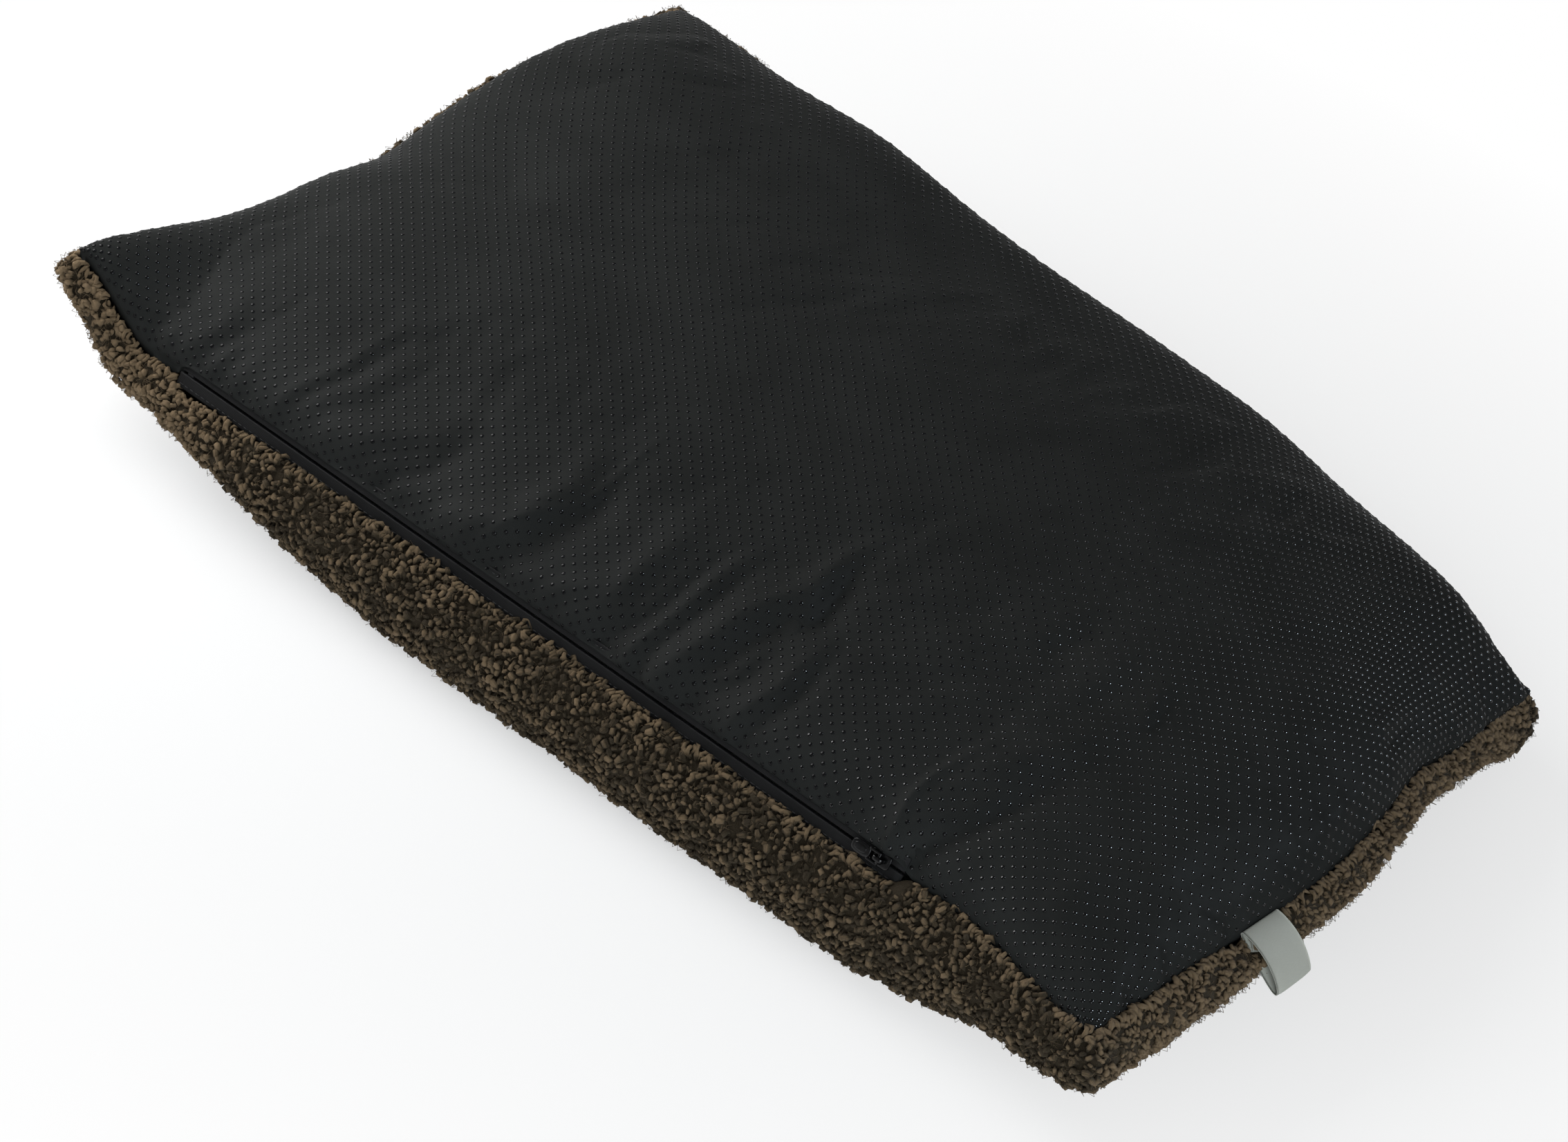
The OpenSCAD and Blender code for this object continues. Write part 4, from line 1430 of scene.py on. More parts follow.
@dataclass
class SherpaFace:
    """Sherpa face: a backing that wraps round the edges, covered with curls of pile."""

    form: CushionForm
    finish: SherpaFinish = SherpaFinish()
    walk_steps: tuple[int, int] = (220, 136)
    backing_depth: float = 2.4
    backing_rise: float = 0.7
    # Low tone of the backing, painted shade between the curls
    backing_shade_tone: float = 0.08
    strand_size: float = 2.5
    inner_shares: Table = (0.9, 0.72, 0.5, 0.25)
    plain: CurlKind = CurlKind(2.3, 2.8, 1.06, 1.2, 0.36)
    lip_tuft: CurlKind = CurlKind(1.7, 5.2, 1.0, 1.5, 0.66)
    wisp: CurlKind = CurlKind(3.0, 5.0, 0.13, 2.9, 0.72, even=True)
    under: CurlKind = CurlKind(4.3, 5.2, 1.7, 0.6, 0.38)
    curl_sizes: Triple = (0.26, 0.55, 1.5)
    jitter: float = 0.42
    lip_depth: float = 0.4
    under_shares: Table = (0.2, 0.4, 0.55, 0.66, 0.75, 0.82, 0.88, 0.93, 0.97)
    clump_pitch: float = 22.0
    clump_height: float = 0.5
    tuft_pitch: float = 8.5
    tuft_height: float = 0.45
    sway_spread: float = 0.32
    taper_spread: float = 0.7
    # Tone added with the height of the clumps and tufts: painted light on the raised curls, painted shade in
    # the hollows
    relief_painted_light: float = 0.12
    tone_spread: float = 0.13
    fine_edge: float = 0.85
    fine_rows: float = 12.0
    # Paler tone of the curls, as painted light
    paler: float = 0.9
    # Rows of the walk, and the share of the paler tone that the curls have there: painted light along the
    # right edge and round the near left corner
    painted_light_at: Table = (0, 30, 44, 220, 226, 232, 344, 350, 356, 700, 712)
    painted_light_share: Table = (0.7, 0.7, 0, 0, 0.5, 1, 1, 0.5, 0, 0, 0.7)
    under_jitter: float = 0.35
    under_sway: float = 0.7
    # The curls of the underside stand higher towards its edge
    under_rise: float = 0.8
    under_edge_rise: float = 2.2
    under_edge_start: float = 0.92
    under_edge_width: float = 0.08
    # Room in the pile for the pull tab when it is swung over to the right
    tab_pivot: Triple = (163.95, -174.67, 47.25)
    tab_axis: Triple = (0.0, 0.4226, 0.9063)
    tab_reach: float = 18.0
    tab_room: float = 6.2
    roll_steps: int = 27
    seed: int = 318

    def build(self) -> None:
        """Makes the backing, the curls of the four edges and the curls of the underside."""
        pile = self.finish.material()
        backing = make_piece("sherpa_backing", self.backing(), pile, Body.COVER, ("sherpa_panel",))
        for name, part in self.roll_curls() + self.under_curls():
            make_piece(name, part, pile, Body.COVER)

    def backing(self) -> Surface:
        """Closed backing: out along the underside, up the roll, over the lip and back along the inside.

        Returns:
            The surface, with a dark tone.
        """
        form = self.form
        u, v = form.walk(self.walk_steps)
        deep = self.backing_depth
        low = self.backing_rise * deep
        rings = [form.under(u, v, s, low) for s in self.under_shares]
        rings += [form.roll(u, v, t, deep, self.lip_depth) for t in np.linspace(-1, 1, 15)]
        rings += [form.roll(u, v, t, form.sherpa_t, form.sherpa_edge_t) for t in np.linspace(1, -1, 7)]
        rings += [form.under(u, v, s, form.sherpa_t) for s in self.inner_shares]
        made = skin(UP * low, np.array(rings), UP * form.sherpa_t)
        # Painted shade: the backing between the curls gets a low tone, which the ramp makes dark
        dark = np.full(len(made.points), self.backing_shade_tone)
        made.marks = {"tone": dark, "strand": made.points / self.strand_size}
        return made

    def dressed(self, curls: Surface, share: Array, angle: Array, tone: Array, rng: Random) -> Surface:
        """Curls with their tone and strand marks.

        The tone rises from the foot of the curl to its outer top, from its own middle tone: painted shade at
        its ends and on the side that faces the backing, painted light on top.
        The strand mark runs round a cylinder and along the curl, so that noise on it makes fibres.

        Args:
            curls: The curls.
            share: Share of the way along its curl of each point.
            angle: Angle round its curl of each point.
            tone: Middle tone of each curl.
            rng: Source of the strands' offsets.

        Returns:
            The same surface with marks.
        """
        each = len(curls.points) // len(tone)
        # Painted shade and light: the tone is lower at the curl's two ends and on the side that faces the
        # backing, higher on its outer top
        high = 0.5 + 0.5 * np.sin(-angle)
        rise = np.sin(np.pi * np.clip(share, 0, 1)) * high
        offset = np.repeat(rng.uniform(0, 40, (len(tone), 3)), each, axis=0)
        curls.marks = {
            "tone": np.clip(np.repeat(tone, each) + 0.9 * (rise - 0.45), 0, 1),
            "strand": np.stack([np.cos(angle), np.sin(angle), share], axis=-1) + offset,
        }
        curls.points[:, 2] = np.maximum(curls.points[:, 2], 0.0)
        return curls

    def roll_curls(self) -> list[tuple[str, Surface]]:
        """Curls on the roll, on a jittered lattice, and longer tufts that lie over the lip.

        Returns:
            A name and a surface for each edge.
        """
        form = self.form
        rng = np.random.default_rng(self.seed)
        u, v = form.walk(self.walk_steps)
        turns = np.linspace(1.0, -1.0, self.roll_steps)
        points = np.stack([form.roll(u, v, t, self.backing_depth, self.lip_depth) for t in turns], axis=1)
        roll = Field(points, loop=True, sign=-1.0)
        arc = np.linalg.norm(np.diff(points, axis=1), axis=-1).sum(1)
        stride = np.linalg.norm(np.roll(points, -1, axis=0) - points, axis=-1).mean(1)
        walked = np.concatenate([[0], np.cumsum(stride)])
        rows = int(arc.max() / self.plain.pitch)
        cols = int(walked[-1] / self.plain.pitch)
        i, j = lattice(np.arange(cols), np.arange(rows))
        spot = (i + 0.5 * (j % 2) + rng.uniform(-self.jitter, self.jitter, i.size)) / cols * walked[-1]
        row = np.interp(spot % walked[-1], walked, np.arange(len(walked)))
        down = (j + 0.5 + rng.uniform(-self.jitter, self.jitter, j.size)) / rows
        local = np.interp(row, np.arange(len(arc)), arc)
        keep = rng.uniform(size=i.size) < (local / arc.max()) ** 0.9
        row, down = row[keep], down[keep]
        spread = rng.uniform(0, 2 * np.pi, row.size)
        from_ends = np.stack([row - self.walk_steps[0], sum(self.walk_steps) - row])
        finer = 1 - (1 - self.fine_edge) * ease(from_ends / self.fine_rows).prod(0)
        scatter, smallest, largest = self.curl_sizes
        size = np.exp(rng.normal(0, scatter, row.size)).clip(smallest, largest) * finer
        plain = self.lay(self.plain, roll, row, down * (self.roll_steps - 1), spread, size, rng)
        tufts = self.lip_tufts(roll, walked, rng)
        layers = ((plain, 4, 5), (tufts, 4, 5), (self.wisps(roll, arc, walked, rng), 3, 3))
        parts = []
        starts = np.cumsum((0, *self.walk_steps, *self.walk_steps))
        for own in Edge:
            halves = {Edge.NEAR: ("_left", "_right"), Edge.FAR: ("_right", "_left")}.get(own, ("",))
            cuts = np.linspace(*starts[own.value:own.value + 2], len(halves) + 1)
            for half, low, high in zip(halves, cuts, cuts[1:]):
                grown = []
                for lay, rings, sides in layers:
                    mine = lay["free"] & (lay["row"] >= low) & (lay["row"] < high)
                    grown.append(self.grown(lay, mine, rng, rings, sides))
                parts.append((f"sherpa_curls_{own.name.lower()}{half}", joined(grown)))
        return parts

    def lay(self, kind: CurlKind, roll: Field, row: Array, col: Array, spread: Array, size: Array,
            rng: Random) -> dict[str, Array]:
        """Places, directions and sizes of curls on a surface.

        Args:
            kind: Kind of the curls.
            roll: The surface.
            row: Places along its rows.
            col: Places along its columns.
            spread: Angle of each curl from the surface's rows.
            size: Share of the kind's sizes that each curl has.
            rng: Source of the sways and tones.

        Returns:
            The arrays by name.
        """
        base, normal, ahead, side = roll.frame_at(row, col)
        away = base - np.array(self.tab_pivot)
        taken = (away[:, 0] > 0) & (np.linalg.norm(away, axis=1) < self.tab_reach)
        taken &= np.abs(away @ np.array(self.tab_axis)) < self.tab_room
        clump = ripple(base, self.clump_pitch, self.seed + 5)
        tuft = ripple(base, self.tuft_pitch, self.seed + 6)
        along = np.cos(spread)[:, None] * ahead + np.sin(spread)[:, None] * side
        # Painted light: curls along the right edge and round the near left corner get a paler tone
        paler = self.paler * np.interp(row, self.painted_light_at, self.painted_light_share)
        # Painted light and shade: curls raised on clumps and tufts get a higher tone, those in the hollows
        # between them a lower one
        relief = self.clump_height * clump + self.tuft_height * tuft
        toned = kind.tone + paler + self.relief_painted_light * clump + self.relief_painted_light * tuft
        length = size * kind.length
        return {
            "row": row, "free": ~taken, "base": base + normal * relief[:, None], "normal": normal,
            "along": along, "length": length, "lift": size * kind.lift,
            "radius": np.full(row.size, kind.radius) if kind.even else size * kind.radius,
            "sway": rng.normal(0, self.sway_spread, row.size) * length,
            "taper": rng.uniform(-self.taper_spread, self.taper_spread, row.size),
            "tone": toned + rng.normal(0, self.tone_spread, row.size),
        }

    def grown(self, lay: dict[str, Array], mine: Array, rng: Random, rings: int, sides: int) -> Surface:
        """Curls of one layer for the chosen places, each thicker at one end and uneven along its length.

        Args:
            lay: Their arrays by name.
            mine: True for the chosen ones.
            rng: Source of their unevenness.
            rings: Rings of points along each.
            sides: Points in each ring.

        Returns:
            The surface with its marks.
        """
        own = {key: value[mine] for key, value in lay.items()}
        girth = 1 + own["taper"][:, None] * np.linspace(-0.5, 0.5, rings)
        girth = girth + rng.normal(0, 0.1, girth.shape)
        curls, share, angle = capsules(own["base"], own["normal"], own["along"], own["length"], own["radius"],
                                       own["lift"], own["sway"], rings, sides, girth)
        return self.dressed(curls, share, angle, own["tone"], rng)

    def wisps(self, roll: Field, arc: Array, walked: Array, rng: Random) -> dict[str, Array]:
        """Fine stray fibres that stand off the curls, scattered over the roll.

        Args:
            roll: The roll's surface.
            arc: Length of the roll's arc at each of its rows.
            walked: Length of the walk up to each of its rows.
            rng: Source of their scatter.

        Returns:
            Their arrays by name.
        """
        count = int(arc.mean() * walked[-1] / self.wisp.pitch**2)
        row = np.interp(rng.uniform(0, walked[-1], count), walked, np.arange(len(walked)))
        col = rng.uniform(0.05, 0.95, count) * (self.roll_steps - 1)
        size = rng.uniform(0.6, 1.3, count)
        return self.lay(self.wisp, roll, row, col, rng.uniform(0, 2 * np.pi, count), size, rng)

    def lip_tufts(self, roll: Field, walked: Array, rng: Random) -> dict[str, Array]:
        """Longer, paler tufts that lie across the roll's lip.

        Args:
            roll: The roll's surface.
            walked: Length of the walk up to each of its rows.
            rng: Source of their scatter.

        Returns:
            Their arrays by name.
        """
        count = int(walked[-1] / self.lip_tuft.pitch)
        spot = (np.arange(count) + rng.uniform(-0.4, 0.4, count)) / count * walked[-1]
        row = np.interp(spot % walked[-1], walked, np.arange(len(walked)))
        col = rng.uniform(0.2, 1.6, count)
        spread = np.pi / 2 + rng.normal(0, 0.65, count)
        size = rng.uniform(0.75, 1.2, count)
        return self.lay(self.lip_tuft, roll, row, col, spread, size, rng)

    def under_curls(self) -> list[tuple[str, Surface]]:
        """Flatter curls on the underside, on a jittered lattice.

        Returns:
            Names and surfaces of the left and right halves.
        """
        form = self.form
        rng = np.random.default_rng(self.seed + 1)
        across = int(2 * form.half_wid / self.under.pitch)
        along = int(2 * form.half_len / self.under.pitch)
        i, j = lattice(np.arange(along), np.arange(across))
        stray = [rng.uniform(-self.under_jitter, self.under_jitter, i.size) for _ in range(2)]
        u = (i + 0.5 + 0.5 * (j % 2) - 0.25 + stray[0]) / along * 2 - 1
        v = (j + 0.5 + stray[1]) / across * 2 - 1
        place = self.under_place(u, v)
        step = 0.004
        du = self.under_place(u + step, v) - place
        dv = self.under_place(u, v + step) - place
        normal = unit(np.cross(dv, du))
        spread = rng.uniform(0, 2 * np.pi, u.size)
        side = unit(np.cross(normal, unit(du)))
        along_it = np.cos(spread)[:, None] * np.cross(side, normal) + np.sin(spread)[:, None] * side
        size = rng.uniform(0.85, 1.2, u.size)
        tone = self.under.tone + rng.normal(0, 0.14, u.size)
        parts = []
        for name, chosen in (("sherpa_curls_under_left", u < 0), ("sherpa_curls_under_right", u >= 0)):
            own = size[chosen]
            sway = rng.normal(0, self.under_sway, own.size)
            curls, share, angle = capsules(
                place[chosen], normal[chosen], along_it[chosen], self.under.length * own,
                self.under.radius * own, self.under.lift * own, sway, rings=3, sides=5)
            parts.append((name, self.dressed(curls, share, angle, tone[chosen], rng)))
        return parts

    def under_place(self, u: Array, v: Array) -> Array:
        """Underside at any place inside the edge, by the edge place on the same ray from the middle."""
        s = np.maximum(np.maximum(np.abs(u), np.abs(v)), 1e-6)
        edge = ease((s - self.under_edge_start) / self.under_edge_width)
        return self.form.under(u / s, v / s, s, self.under_rise + self.under_edge_rise * edge)


@dataclass
class Zip:
    """Zip along the near edge: two tapes, coils, stops, stitching, a slider and its pull tab."""

    form: CushionForm
    tape_finish: TapeFinish = TapeFinish()
    metal_finish: GlossFinish = GlossFinish("slider_black")
    coil_finish: GlossFinish = GlossFinish("coil_nylon", (0.009, 0.009, 0.0095), 0.3)
    stop_finish: GlossFinish = GlossFinish("stop_nylon", (0.012, 0.012, 0.0125), 0.28)
    thread_finish: ThreadFinish = ThreadFinish("black_thread", (0.016, 0.016, 0.017))
    tilt: float = math.radians(65.0)
    tape_w: float = 6.0
    tape_t: float = 0.6
    tape_gap: float = 0.5
    hairline: float = 0.36
    bead: float = 0.2
    bead_y: float = 1.1
    bead_w: float = 0.8
    rim_w: float = 0.35
    tape_points: int = 15
    tape_steps: int = 99
    coil_h: float = 1.8
    sewn_gap: float = 0.05
    slide_gap: float = 0.3
    slider_x: float = 163.95
    slider_len: float = 9.5
    slider_plate: float = 1.0
    slider_half_w: float = 3.2
    plate_round: Pair = (0.45, 0.35)
    neck_half: Pair = (0.9, 0.28)
    neck_x: float = 3.4
    flange_half: float = 3.15
    flange_lift: float = 0.4
    hinge_z: float = 2.95
    bridge_half: float = 2.3
    bridge_over: float = 1.4
    bridge_steps: int = 25
    bridge_square: float = 0.55
    wire_half: Pair = (0.4, 0.9)
    wire_square: float = 0.6
    tab_len: float = 13.0
    tab_w: float = 5.4
    tab_t: float = 1.2
    tab_window: float = 4.6
    tab_overlap: float = 0.6
    bar_r: float = 0.66
    arm_half: float = 0.5
    grip_inset: Pair = (1.6, 1.1)
    grip_half_t: float = 0.18
    stitch_pitch: float = 3.1
    stitch_share: float = 0.78
    thread_r: float = 0.25
    thread_inset: float = 1.6

    def placed(self, surface: Surface) -> Surface:
        """A surface of the zip's own frame, turned and moved to the near edge."""
        x, y, z = surface.points.T
        c, s = math.cos(self.tilt), math.sin(self.tilt)
        turned = [x, y * c - z * s - self.form.half_wid, y * s + z * c + self.form.seam_h]
        surface.points = np.stack(turned, axis=-1)
        return surface

    def build(self, nodes: dict[str, bpy.types.Object]) -> None:
        """Makes the tapes, stitches, slider and pull tab, and dresses the coils and stops.

        Args:
            nodes: CAD nodes by name.
        """
        tape = self.tape_finish.material()
        thread = self.thread_finish.material()
        for name, side in (("upper", 1.0), ("lower", -1.0)):
            make_piece(f"zip_tape_{name}_woven", self.placed(self.tape(side)), tape, Body.COVER,
                       (f"zip_tape_{name}",))
            make_piece(f"zip_stitches_{name}", self.placed(self.stitches(side)), thread, Body.COVER,
                       (f"zip_stitching_{name}",))
        metal = self.metal_finish.material()
        make_piece("zip_slider_body", self.placed(self.slider()), metal, Body.SLIDER,
                   ("zip_slider",))
        make_piece("zip_pull_tab_plate", self.placed(self.pull_tab()), metal, Body.PULL_TAB,
                   ("zip_pull_tab",))
        coil, stop = self.coil_finish.material(), self.stop_finish.material()
        for name, finish in (("zip_coil_upper", coil), ("zip_coil_lower", coil), ("zip_top_stops", stop),
                             ("zip_bottom_stop", stop)):
            dress_node(nodes[name], finish)

    def tape(self, side: float) -> Surface:
        """One tape: a thin band with a soft bead along its inner edge, where it turns over the coil.

        Args:
            side: 1 for the upper tape and -1 for the lower one.

        Returns:
            The band in the zip's frame.
        """
        half = self.tape_t / 2
        across = np.linspace(0, 1, self.tape_points)
        y = self.hairline + (self.tape_gap + self.tape_w - self.hairline) * across**1.4
        rim = np.sqrt(np.clip((y - self.hairline) / self.rim_w, 0, 1))
        top = -half + (2 * half + self.bead * np.exp(-(((y - self.bead_y) / self.bead_w) ** 2))) * rim
        under = np.stack([y[::-1], 0 * y - half], axis=-1)[:-1]
        profile = np.concatenate([np.stack([y, top], axis=-1), under])
        steps = np.linspace(self.form.zip_from, self.form.zip_to, self.tape_steps)
        origin = np.stack([steps, 0 * steps, 0 * steps], axis=-1)
        return swept(profile, origin, np.array([0, side, 0.0]), UP)

    def stitches(self, side: float) -> Surface:
        """Row of lockstitches that sews a tape to its panel: short capsules, one after another.

        Args:
            side: 1 for the upper row and -1 for the lower one.

        Returns:
            The row in the zip's frame.
        """
        length = self.form.zip_to - self.form.zip_from - 2
        count = int(length / self.stitch_pitch)
        x = self.form.zip_from + 1 + (np.arange(count) + 0.5) * length / count
        y = side * (self.tape_gap + self.tape_w - self.thread_inset)
        z = self.tape_t / 2 + self.sewn_gap
        base = np.stack(np.broadcast_arrays(x, y, z), axis=-1)
        return capsules(base, UP, np.array([1.0, 0, 0]), self.stitch_share * self.stitch_pitch, self.thread_r,
                        self.thread_r, 0.0, rings=4, sides=6)[0]

    def slider(self) -> Surface:
        """Slider: two soft-edged plates, two flanges, a neck and an arched bridge."""
        top = self.tape_t / 2 + self.slide_gap
        low = -self.tape_t / 2 - self.sewn_gap - self.coil_h - self.slide_gap
        half_t = self.slider_plate / 2
        x = self.slider_x
        plate = (self.slider_len / 2, self.slider_half_w, half_t)
        neck = (*self.neck_half, (top - low) / 2 + half_t)
        wall = self.slide_gap / 2
        flange = (self.flange_half, wall, self.coil_h / 2)
        parts = [
            round_block(plate, (x, 0, top + half_t), *self.plate_round),
            round_block(plate, (x, 0, low - half_t), *self.plate_round),
            round_block(neck, (x + self.neck_x, 0, (top + low) / 2), 0.5, 0.2),
        ]
        for side in (-1, 1):
            place = (x, side * (self.slider_half_w - wall), low + self.flange_lift)
            parts.append(round_block(flange, place, 0.4, 0.3))
        angle = np.linspace(np.pi, 0, self.bridge_steps)
        foot = top + 0.6 * self.slider_plate
        rise = self.hinge_z + self.bridge_over - foot
        path = np.stack([x + self.bridge_half * spow(np.cos(angle), self.bridge_square), 0 * angle,
                         foot + rise * np.sin(angle) ** self.bridge_square], axis=-1)
        out = unit(np.stack([np.cos(angle), 0 * angle, np.sin(angle)], axis=-1))
        turn = np.linspace(0, 2 * np.pi, 16, endpoint=False)
        profile = spow(np.stack([np.sin(turn), np.cos(turn)], axis=-1), self.wire_square)
        profile = profile * np.array(self.wire_half)
        parts.append(swept(profile, path, out, np.array([0, 1.0, 0])))
        return joined(parts)

    def pull_tab(self) -> Surface:
        """Pull tab: a hinge bar, two arms beside the bridge and a round-ended plate with a raised grip."""
        x, z = self.slider_x, self.hinge_z
        half_w, half_t = self.tab_w / 2, self.tab_t / 2
        plate_len = self.tab_len - self.tab_window + self.tab_overlap
        middle = x - self.tab_window + self.tab_overlap - plate_len / 2
        grip = (plate_len / 2 - self.grip_inset[0], half_w - self.grip_inset[1], self.grip_half_t)
        arm = (self.tab_window / 2 + self.arm_half, self.arm_half, half_t)
        parts = [
            round_block((self.bar_r, half_w, self.bar_r), (x, 0, z), 0.35, 0.8),
            round_block((plate_len / 2, half_w, half_t), (middle, 0, z), 0.62, 0.4, sides=40),
            round_block(grip, (middle - 0.2, 0, z + half_t), 0.7, 0.6),
        ]
        for side in (-1, 1):
            place = (x - self.tab_window / 2, side * (half_w - self.arm_half), z)
            parts.append(round_block(arm, place, 0.3, 0.4))
        return joined(parts)


@dataclass
class CareLabel:
    """Bare satin label: a ribbon folded into a loop that hangs from the right seam."""

    form: CushionForm
    finish: LabelFinish = LabelFinish()
    thread_finish: ThreadFinish = ThreadFinish("label_thread", (0.33, 0.34, 0.31))
    width: float = 22.0
    place: float = -78.0
    stand: float = 10.0
    drop: float = 15.0
    opening: float = 7.0
    ribbon_t: float = 0.3
    root_t: float = 0.35
    edge_curl: float = 0.5
    edge_curl_length: float = 6.5
    twist: float = 0.35
    twist_length: float = 11.0
    steps: int = 72
    threads: int = 13
    tack_length: float = 3.6
    tack_radius: float = 0.25
    tack_low: float = -1.8

    def middle(self, t: Array) -> Array:
        """Middle line of the loop: a quadratic curve from its root, by its lead, to its fold."""
        root = np.array([self.form.seam_gap / 2, self.form.lip_rise + 1.5 * self.root_t])
        tip = np.array([self.form.seam_gap + self.form.end_bulge + self.stand, -self.drop])
        lead = np.array([tip[0] * 0.5, -self.drop * 0.2])
        t = t[..., None]
        return root * (1 - t) ** 2 + lead * 2 * t * (1 - t) + tip * t**2

    def loop_line(self) -> Array:
        """Line of the ribbon out to its fold and back, beside the middle line by the opening's half width.

        Returns:
            Points in X and Z from the seam.
        """
        angle = np.linspace(0, np.pi, self.steps)
        t = 0.5 - 0.5 * np.cos(angle)
        t = np.concatenate([t, t[-2::-1]])
        side = np.concatenate([np.ones(self.steps), -np.ones(self.steps - 1)])
        step = 0.01
        d = self.middle(t + step) - self.middle(t - step)
        across = unit(np.stack([-d[:, 1], d[:, 0]], axis=-1))
        half = self.opening / 2 * np.sqrt(t) * np.sqrt(np.maximum(0, 1 - t**4)) + self.root_t / 2 * (1 - t)
        return self.middle(t) + across * (side * half)[:, None]

    def build(self) -> None:
        """Makes the ribbon loop and the bar tack that holds it."""
        ribbon, length = self.ribbon()
        piece = make_piece("label_ribbon", ribbon, self.finish.material(), Body.LABEL,
                           ("care_label",))
        make_piece("label_bar_tack", self.bar_tack(), self.thread_finish.material(), Body.COVER,
                   ("label_stitching",))

    def ribbon(self) -> tuple[Surface, float]:
        """Ribbon of even thickness along the loop line, with a slight wave along its free edges.

        Returns:
            The surface with the ribbon UV map, and the ribbon's length.
        """
        line = self.loop_line()
        run = run_along(line)
        heading = unit(np.gradient(line, axis=0))
        normal = np.stack([-heading[:, 1], heading[:, 0]], axis=-1)
        w = np.linspace(-1, 1, 19)
        sewn = np.sin(np.pi * run / run[-1])[:, None]
        curl = self.edge_curl * sewn * (w**4)[None] * np.sin(run / self.edge_curl_length)[:, None]
        curl = curl + self.twist * sewn * w[None] * np.cos(run / self.twist_length)[:, None]
        seam = self.form.seam(np.array(1.0), np.array(self.place / self.form.half_wid))
        layers = []
        for offset in (0.5, -0.5):
            flat = line[:, None] + normal[:, None] * (curl + offset * self.ribbon_t)[..., None]
            y = np.broadcast_to(w[None] * self.width / 2, flat.shape[:2])
            layers.append(seam + np.stack([flat[..., 0], y, flat[..., 1]], axis=-1))
        rows, cols = layers[0].shape[:2]
        points = np.concatenate([layer.reshape(-1, 3) for layer in layers])
        edge = grid_edge(rows, cols)
        ahead = np.roll(edge, -1)
        rim = np.stack([edge, ahead, ahead + rows * cols, edge + rows * cols], axis=-1)
        quads = grid_faces(rows, cols)
        uv = np.stack(np.broadcast_arrays(run[:, None], w[None] * self.width / 2), axis=-1)
        uv = uv.reshape(-1, 2) * MM
        faces = [quads[:, ::-1], rim, quads + rows * cols]
        return Surface(points, faces, {"ribbon": np.concatenate([uv, uv])}).outward(), float(run[-1])

    def bar_tack(self) -> Surface:
        """Bar tack: a row of short upright stitches in the seam's groove."""
        seam = self.form.seam(np.array(1.0), np.array(self.place / self.form.half_wid))
        y = np.linspace(1 - self.width / 2, self.width / 2 - 1, self.threads)
        base = seam + np.stack(np.broadcast_arrays(self.form.seam_gap / 2, y, self.tack_low), axis=-1)
        return capsules(base, np.array([1.0, 0, 0]), UP, self.tack_length, self.tack_radius, 0.05, 0.1,
                        rings=4, sides=6)[0]


